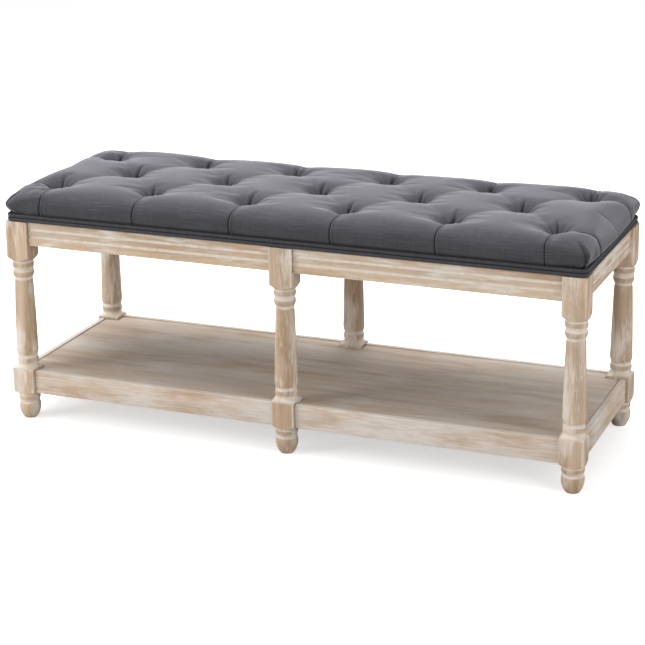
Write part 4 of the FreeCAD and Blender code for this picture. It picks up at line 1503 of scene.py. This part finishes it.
@dataclass
class Welt:
    """Double welt: two cloth-covered cords, one on the other, round the foot of the cushion."""

    half_length: float = 0.596
    half_depth: float = 0.206
    corner: float = 0.012
    radius: float = 0.00395
    levels: tuple[float, ...] = (0.4266, 0.4346)
    spacing: float = 0.003
    sides: int = 16
    twist: float = 0.0075
    uneven: float = 0.35
    twist_share: float = 0.06
    pull_share: float = 0.05
    pulls: int = 90
    corner_points: int = 13
    crease_shade_start: float = 0.72
    crease_shade_run: float = 0.26
    seed: int = 5

    def path(self) -> tuple[np.ndarray, np.ndarray]:
        """Return points round the seat at even steps, and the outward direction at each."""
        points, outward = [], []
        inner = np.array([self.half_length, self.half_depth]) - self.corner
        for number, (sx, sy) in enumerate(((1, -1), (1, 1), (-1, 1), (-1, -1))):
            for turn in np.linspace(-90, 0, self.corner_points) + 90 * number:
                way = np.array([math.cos(math.radians(turn)), math.sin(math.radians(turn))])
                points.append(inner * (sx, sy) + self.corner * way)
                outward.append(way)
        points = np.array(points + points[:1])
        outward = np.array(outward + outward[:1])
        length = np.concatenate([[0.0], np.cumsum(np.hypot(*np.diff(points, axis=0).T))])
        at = np.linspace(0, length[-1], int(length[-1] / self.spacing) + 1)
        middle = np.stack([np.interp(at, length, points[:, k]) for k in (0, 1)], axis=1)
        ways = np.stack([np.interp(at, length, outward[:, k]) for k in (0, 1)], axis=1)
        return middle, ways / np.linalg.norm(ways, axis=1, keepdims=True)

    def cord(self, level: float, rng: np.random.Generator) -> tuple[np.ndarray, ...]:
        """Sweep one cord round the seat.

        Args:
            level: Height of its middle.
            rng: Source of its small unevenness.

        Returns:
            Points, corners of its faces, cloth coordinates at the corners, and how much painted
            shade each point gets where the cords meet.
        """
        middle, ways = self.path()
        count = len(middle) - 1
        at = np.arange(count)[:, None] * self.spacing
        angle = np.arange(self.sides)[None, :] * 2 * math.pi / self.sides
        slow = np.interp(np.arange(count), np.linspace(0, count, self.pulls),
                         rng.normal(0, 1, self.pulls))
        pull = (np.sin(2 * math.pi * at / self.twist + 2 * angle) * self.twist_share
                + slow[:, None] * self.pull_share)
        radius = self.radius * (1 + self.uneven * pull)
        out, up = radius * np.cos(angle), radius * np.sin(angle)
        points = np.concatenate([middle[:count, None, :] + ways[:count, None, :] * out[:, :, None],
                                 level + up[:, :, None]], axis=2).reshape(-1, 3)
        i, j = (a.ravel() for a in np.meshgrid(np.arange(count), np.arange(self.sides),
                                               indexing="ij"))
        turns = ((i, j), (i + 1, j), (i + 1, j + 1), (i, j + 1))
        faces = np.stack([(a % count) * self.sides + b % self.sides for a, b in turns], axis=1)
        round_it = 2 * math.pi * self.radius / self.sides
        cloth = np.stack([np.stack([a * self.spacing, b * round_it], axis=1)
                          for a, b in turns], axis=1)
        # Painted shade at the top and bottom of each cord, where it meets the other cord, the
        # cushion or the frame.
        crease_shade = np.clip((np.abs(np.sin(angle)) - self.crease_shade_start) / self.crease_shade_run, 0, 1)
        return points, faces, cloth, np.broadcast_to(crease_shade, (count, self.sides)).ravel()

    def build(self) -> bpy.types.Object:
        """Make both cords as one piece."""
        rng = np.random.default_rng(self.seed)
        points, faces, cloth, crease_shade = zip(*(self.cord(level, rng) for level in self.levels))
        faces = [corner + number * len(points[0]) for number, corner in enumerate(faces)]
        piece = new_piece("double_welt_cords", np.concatenate(points), np.concatenate(faces),
                          np.concatenate(cloth))
        paint_crease_shade(piece.data, np.concatenate(crease_shade))
        return piece


@dataclass
class DustCloth:
    """Black cloth stretched over the frame under the seat board. It sags between the rails."""

    width: float = 1.172
    depth: float = 0.392
    level: float = 0.4223
    sag: float = 0.0022
    bay_inner: float = 0.024
    bay_outer: float = 0.552
    bay_depth: float = 0.163
    fullness: float = 0.6
    ripple: float = 0.12
    waves: tuple[float, float, float, float] = (57.0, 9.0, 43.0, 2.0)
    lines: tuple[int, int] = (157, 53)

    def build(self) -> bpy.types.Object:
        """Make the sheet."""
        x, y = np.meshgrid(np.linspace(-self.width / 2, self.width / 2, self.lines[0]),
                           np.linspace(-self.depth / 2, self.depth / 2, self.lines[1]),
                           indexing="ij")
        along = (np.abs(x) - self.bay_inner) / (self.bay_outer - self.bay_inner)
        across = (y / self.bay_depth + 1) / 2
        hang = np.sin(math.pi * np.clip(along, 0, 1)) * np.sin(math.pi * np.clip(across, 0, 1))
        a, b, c, d = self.waves
        ripple = self.ripple * np.sin(x * a + b * y) * np.sin(y * c + d)
        z = self.level - self.sag * hang ** self.fullness * (1 + ripple)
        faces = grid_faces(*self.lines)
        points = np.stack([x, y, z], axis=-1).reshape(-1, 3)
        return new_piece("stretched_dust_cloth", points, faces, points[faces.ravel(), :2])


@dataclass
class Seat:
    """Cushion, double welt and dust cloth on the frame."""

    cushion: Cushion = field(default_factory=Cushion)
    welt: Welt = field(default_factory=Welt)
    dust_cloth: DustCloth = field(default_factory=DustCloth)

    def build(self) -> None:
        """Make the soft pieces of the seat."""
        piece = self.cushion.build()
        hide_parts("seat_cover", "seat_foam")
        self.attach(piece, "seat_cloth", WovenCloth())
        piece = self.welt.build()
        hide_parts("double_welt")
        self.attach(piece, "welt_cloth", WovenCloth(pitch=0.0009, turn=45.0, sheen=0.20))
        piece = self.dust_cloth.build()
        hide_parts("dust_cloth")
        self.attach(piece, "dust_cloth", DustClothFinish())

    @staticmethod
    def attach(piece: bpy.types.Object, slot: str, finish: Finish) -> None:
        """Give a piece its finish and let it ride with the bench.

        Args:
            piece: The piece.
            slot: The name of its material slot.
            finish: Its finish.
        """
        name = "dust_cloth_black" if slot == "dust_cloth" else slot
        piece.data.materials.append(finish.make(name))
        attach(piece, "root")
        log.info("%s: %d faces", piece.name, len(piece.data.polygons))


class Finishes:
    """Finishes of the pieces that come with the frame."""

    seed_step = 0.37
    others = {
        "shelf_panel": LimedWood(Axis.ALONG_BENCH, Recess.PLAIN, amount=0.80,
                                 tan=colour(208, 184, 158), softness=0.20, patch_scale=0.5,
                                 grey=colour(208, 199, 189), lime=colour(222, 215, 208),
                                 greyness=0.5, shows_joint_shade=False),
        "seat_cross_rail": RawWood(Axis.ACROSS_BENCH),
        "shelf_cross_rail": RawWood(Axis.ACROSS_BENCH),
        "seat_board": Plywood(),
        "tuft_ties": TieCord(),
        "seat_foam": Foam(),
        "seat_cover": WovenCloth(own_map=False),
        "double_welt": WovenCloth(own_map=False, pitch=0.0009),
        "dust_cloth": DustClothFinish(own_map=False),
    }

    def dress(self) -> None:
        """Give each piece its finish."""
        for number, (name, piece) in enumerate(sorted(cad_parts.items())):
            finish = self.choose(name)
            material = finish.make(name + "_finish", self.seed_step * number)
            piece.material_slots[0].material = material
            log.info("%s: %s", name, type(finish).__name__)

    def choose(self, name: str) -> Finish:
        """Choose the finish of a piece.

        Args:
            name: The piece's name.

        Returns:
            Its finish.
        """
        axis = Axis.ACROSS_BENCH if name.endswith("_end") else Axis.ALONG_BENCH
        if "screws" in name or "bolt" in name:
            return ZincSteel()
        if name.startswith("leg_"):
            # Back legs get a darker tan: painted shade, for the shade they stand in under the
            # seat.
            tan = colour(200, 170, 139) if "_back_" in name else colour(218, 189, 158)
            return LimedWood(Axis.UPRIGHT, Recess.TURNED, amount=0.68, tan=tan, softness=0.12,
                             patch_scale=0.9, brown=colour(178, 146, 114),
                             lime=colour(242, 234, 223))
        if name.startswith("apron_"):
            return LimedWood(axis, Recess.FLUTED, amount=0.66, tan=colour(220, 193, 162),
                             softness=0.13, brown=colour(188, 157, 125))
        if name.startswith("shelf_rail"):
            return LimedWood(axis, Recess.PLAIN, amount=0.86, tan=colour(220, 192, 162),
                             softness=0.15, patch_scale=0.42, brown=colour(194, 164, 133),
                             lime=colour(238, 232, 226))
        return self.others.get(name, RawWood(Axis.ALONG_BENCH))


@dataclass(frozen=True)
class Viewpoint:
    """Camera in front of the bench and to its right."""

    place: Triple = (1.41065, -3.51645, 1.43897)
    yaw: float = 21.79
    pitch: float = -15.15
    roll: float = -0.55
    lens: float = 109.44
    sensor: float = 36.0
    shift_y: float = -0.15
    far: float = 40.0

    def build(self) -> None:
        """Make the camera and look through it."""
        yaw, pitch, roll = (math.radians(a) for a in (self.yaw, self.pitch, self.roll))
        ahead = Vector((-math.sin(yaw) * math.cos(pitch), math.cos(yaw) * math.cos(pitch),
                        math.sin(pitch)))
        right = ahead.cross(Vector((0, 0, 1))).normalized()
        up = right.cross(ahead)
        right, up = (right * math.cos(roll) + up * math.sin(roll),
                     up * math.cos(roll) - right * math.sin(roll))
        data = bpy.data.cameras.new("camera")
        data.lens = self.lens
        data.sensor_width = self.sensor
        data.shift_y = self.shift_y
        data.clip_end = self.far
        camera = bpy.data.objects.new("camera", data)
        bpy.context.scene.collection.objects.link(camera)
        turn = Matrix((right, up, -ahead)).transposed()
        camera.matrix_world = Matrix.Translation(self.place) @ turn.to_4x4()
        bpy.context.scene.camera = camera


@dataclass(frozen=True)
class Softbox:
    """A large soft lamp that points at the bench."""

    name: str
    place: Triple
    width: float
    height: float
    power: float
    target: Triple = (0.0, 0.0, 0.3)

    def build(self) -> None:
        """Hang the lamp."""
        data = bpy.data.lights.new(self.name, "AREA")
        data.shape = "RECTANGLE"
        data.size = self.width
        data.size_y = self.height
        data.energy = self.power
        lamp = bpy.data.objects.new(self.name, data)
        lamp.location = self.place
        aim = Vector(self.target) - Vector(self.place)
        lamp.rotation_euler = aim.to_track_quat("-Z", "Y").to_euler()
        bpy.context.scene.collection.objects.link(lamp)


@dataclass(frozen=True)
class Studio:
    """Plain pale floor, white surroundings and soft lamps."""

    lamps: tuple[Softbox, ...] = (
        Softbox("overhead", (-0.6, 0.5, 3.0), 3.0, 1.8, 100.0),
        Softbox("right", (3.2, -1.4, 1.6), 1.6, 2.0, 34.0),
        Softbox("left", (-3.0, -2.2, 1.5), 1.6, 2.0, 62.0),
    )
    ambient: float = 0.46
    floor_size: float = 30.0
    floor_seen: Colour = (0.86, 0.86, 0.86)
    floor_glow: float = 0.55
    floor_dim: Colour = (0.55, 0.54, 0.53)
    white: Colour = (1.0, 1.0, 1.0)

    def build(self) -> None:
        """Make floor, surroundings and lamps."""
        self.floor()
        world = bpy.data.worlds.new("surroundings")
        bpy.context.scene.world = world
        world.use_nodes = True
        tree = Tree(world.node_tree)
        pale = tree.node("Background", {"Color": self.white, "Strength": self.ambient})
        bright = tree.node("Background", {"Color": self.white, "Strength": 1.0})
        both = self.seen_or_not(tree, bright, pale)
        tree.feed(tree.node("OutputWorld").inputs["Surface"], both.outputs[0])
        for lamp in self.lamps:
            lamp.build()

    def floor(self) -> None:
        """Lay the floor. It looks paler than the light it gives back."""
        bpy.ops.object.select_all(action="DESELECT")
        bpy.ops.mesh.primitive_plane_add(size=self.floor_size, location=(0.0, 0.0, 0.0))
        floor = bpy.context.object
        floor.name = "floor"
        material, tree = new_material("floor_white")
        lit = tree.node("BsdfDiffuse", {"Color": self.floor_seen})
        glow = tree.node("Emission", {"Color": self.white, "Strength": self.floor_glow})
        seen = tree.node("AddShader", {0: lit.outputs[0], 1: glow.outputs[0]})
        dim = tree.node("BsdfDiffuse", {"Color": self.floor_dim})
        finish_material(tree, self.seen_or_not(tree, seen, dim))
        floor.data.materials.append(material)

    @staticmethod
    def seen_or_not(tree: Tree, seen: bpy.types.Node, unseen: bpy.types.Node) -> bpy.types.Node:
        """Mix two shaders: one that the camera sees and one that lights the bench.

        Args:
            tree: The tree they are in.
            seen: What the camera sees.
            unseen: What all other rays meet.

        Returns:
            The mix.
        """
        path = tree.node("LightPath").outputs["Is Camera Ray"]
        return tree.node("MixShader", {0: path, 1: unseen.outputs[0], 2: seen.outputs[0]})


def main() -> None:
    """Build the bench, the studio and the camera."""
    logging.basicConfig(level=logging.INFO, format="%(name)s: %(message)s")
    bpy.ops.object.select_all(action="DESELECT")
    bpy.context.scene.view_settings.view_transform = "Standard"
    Viewpoint().build()
    Studio().build()
    Seat().build()
    Finishes().dress()


if __name__ == "__main__":
    main()
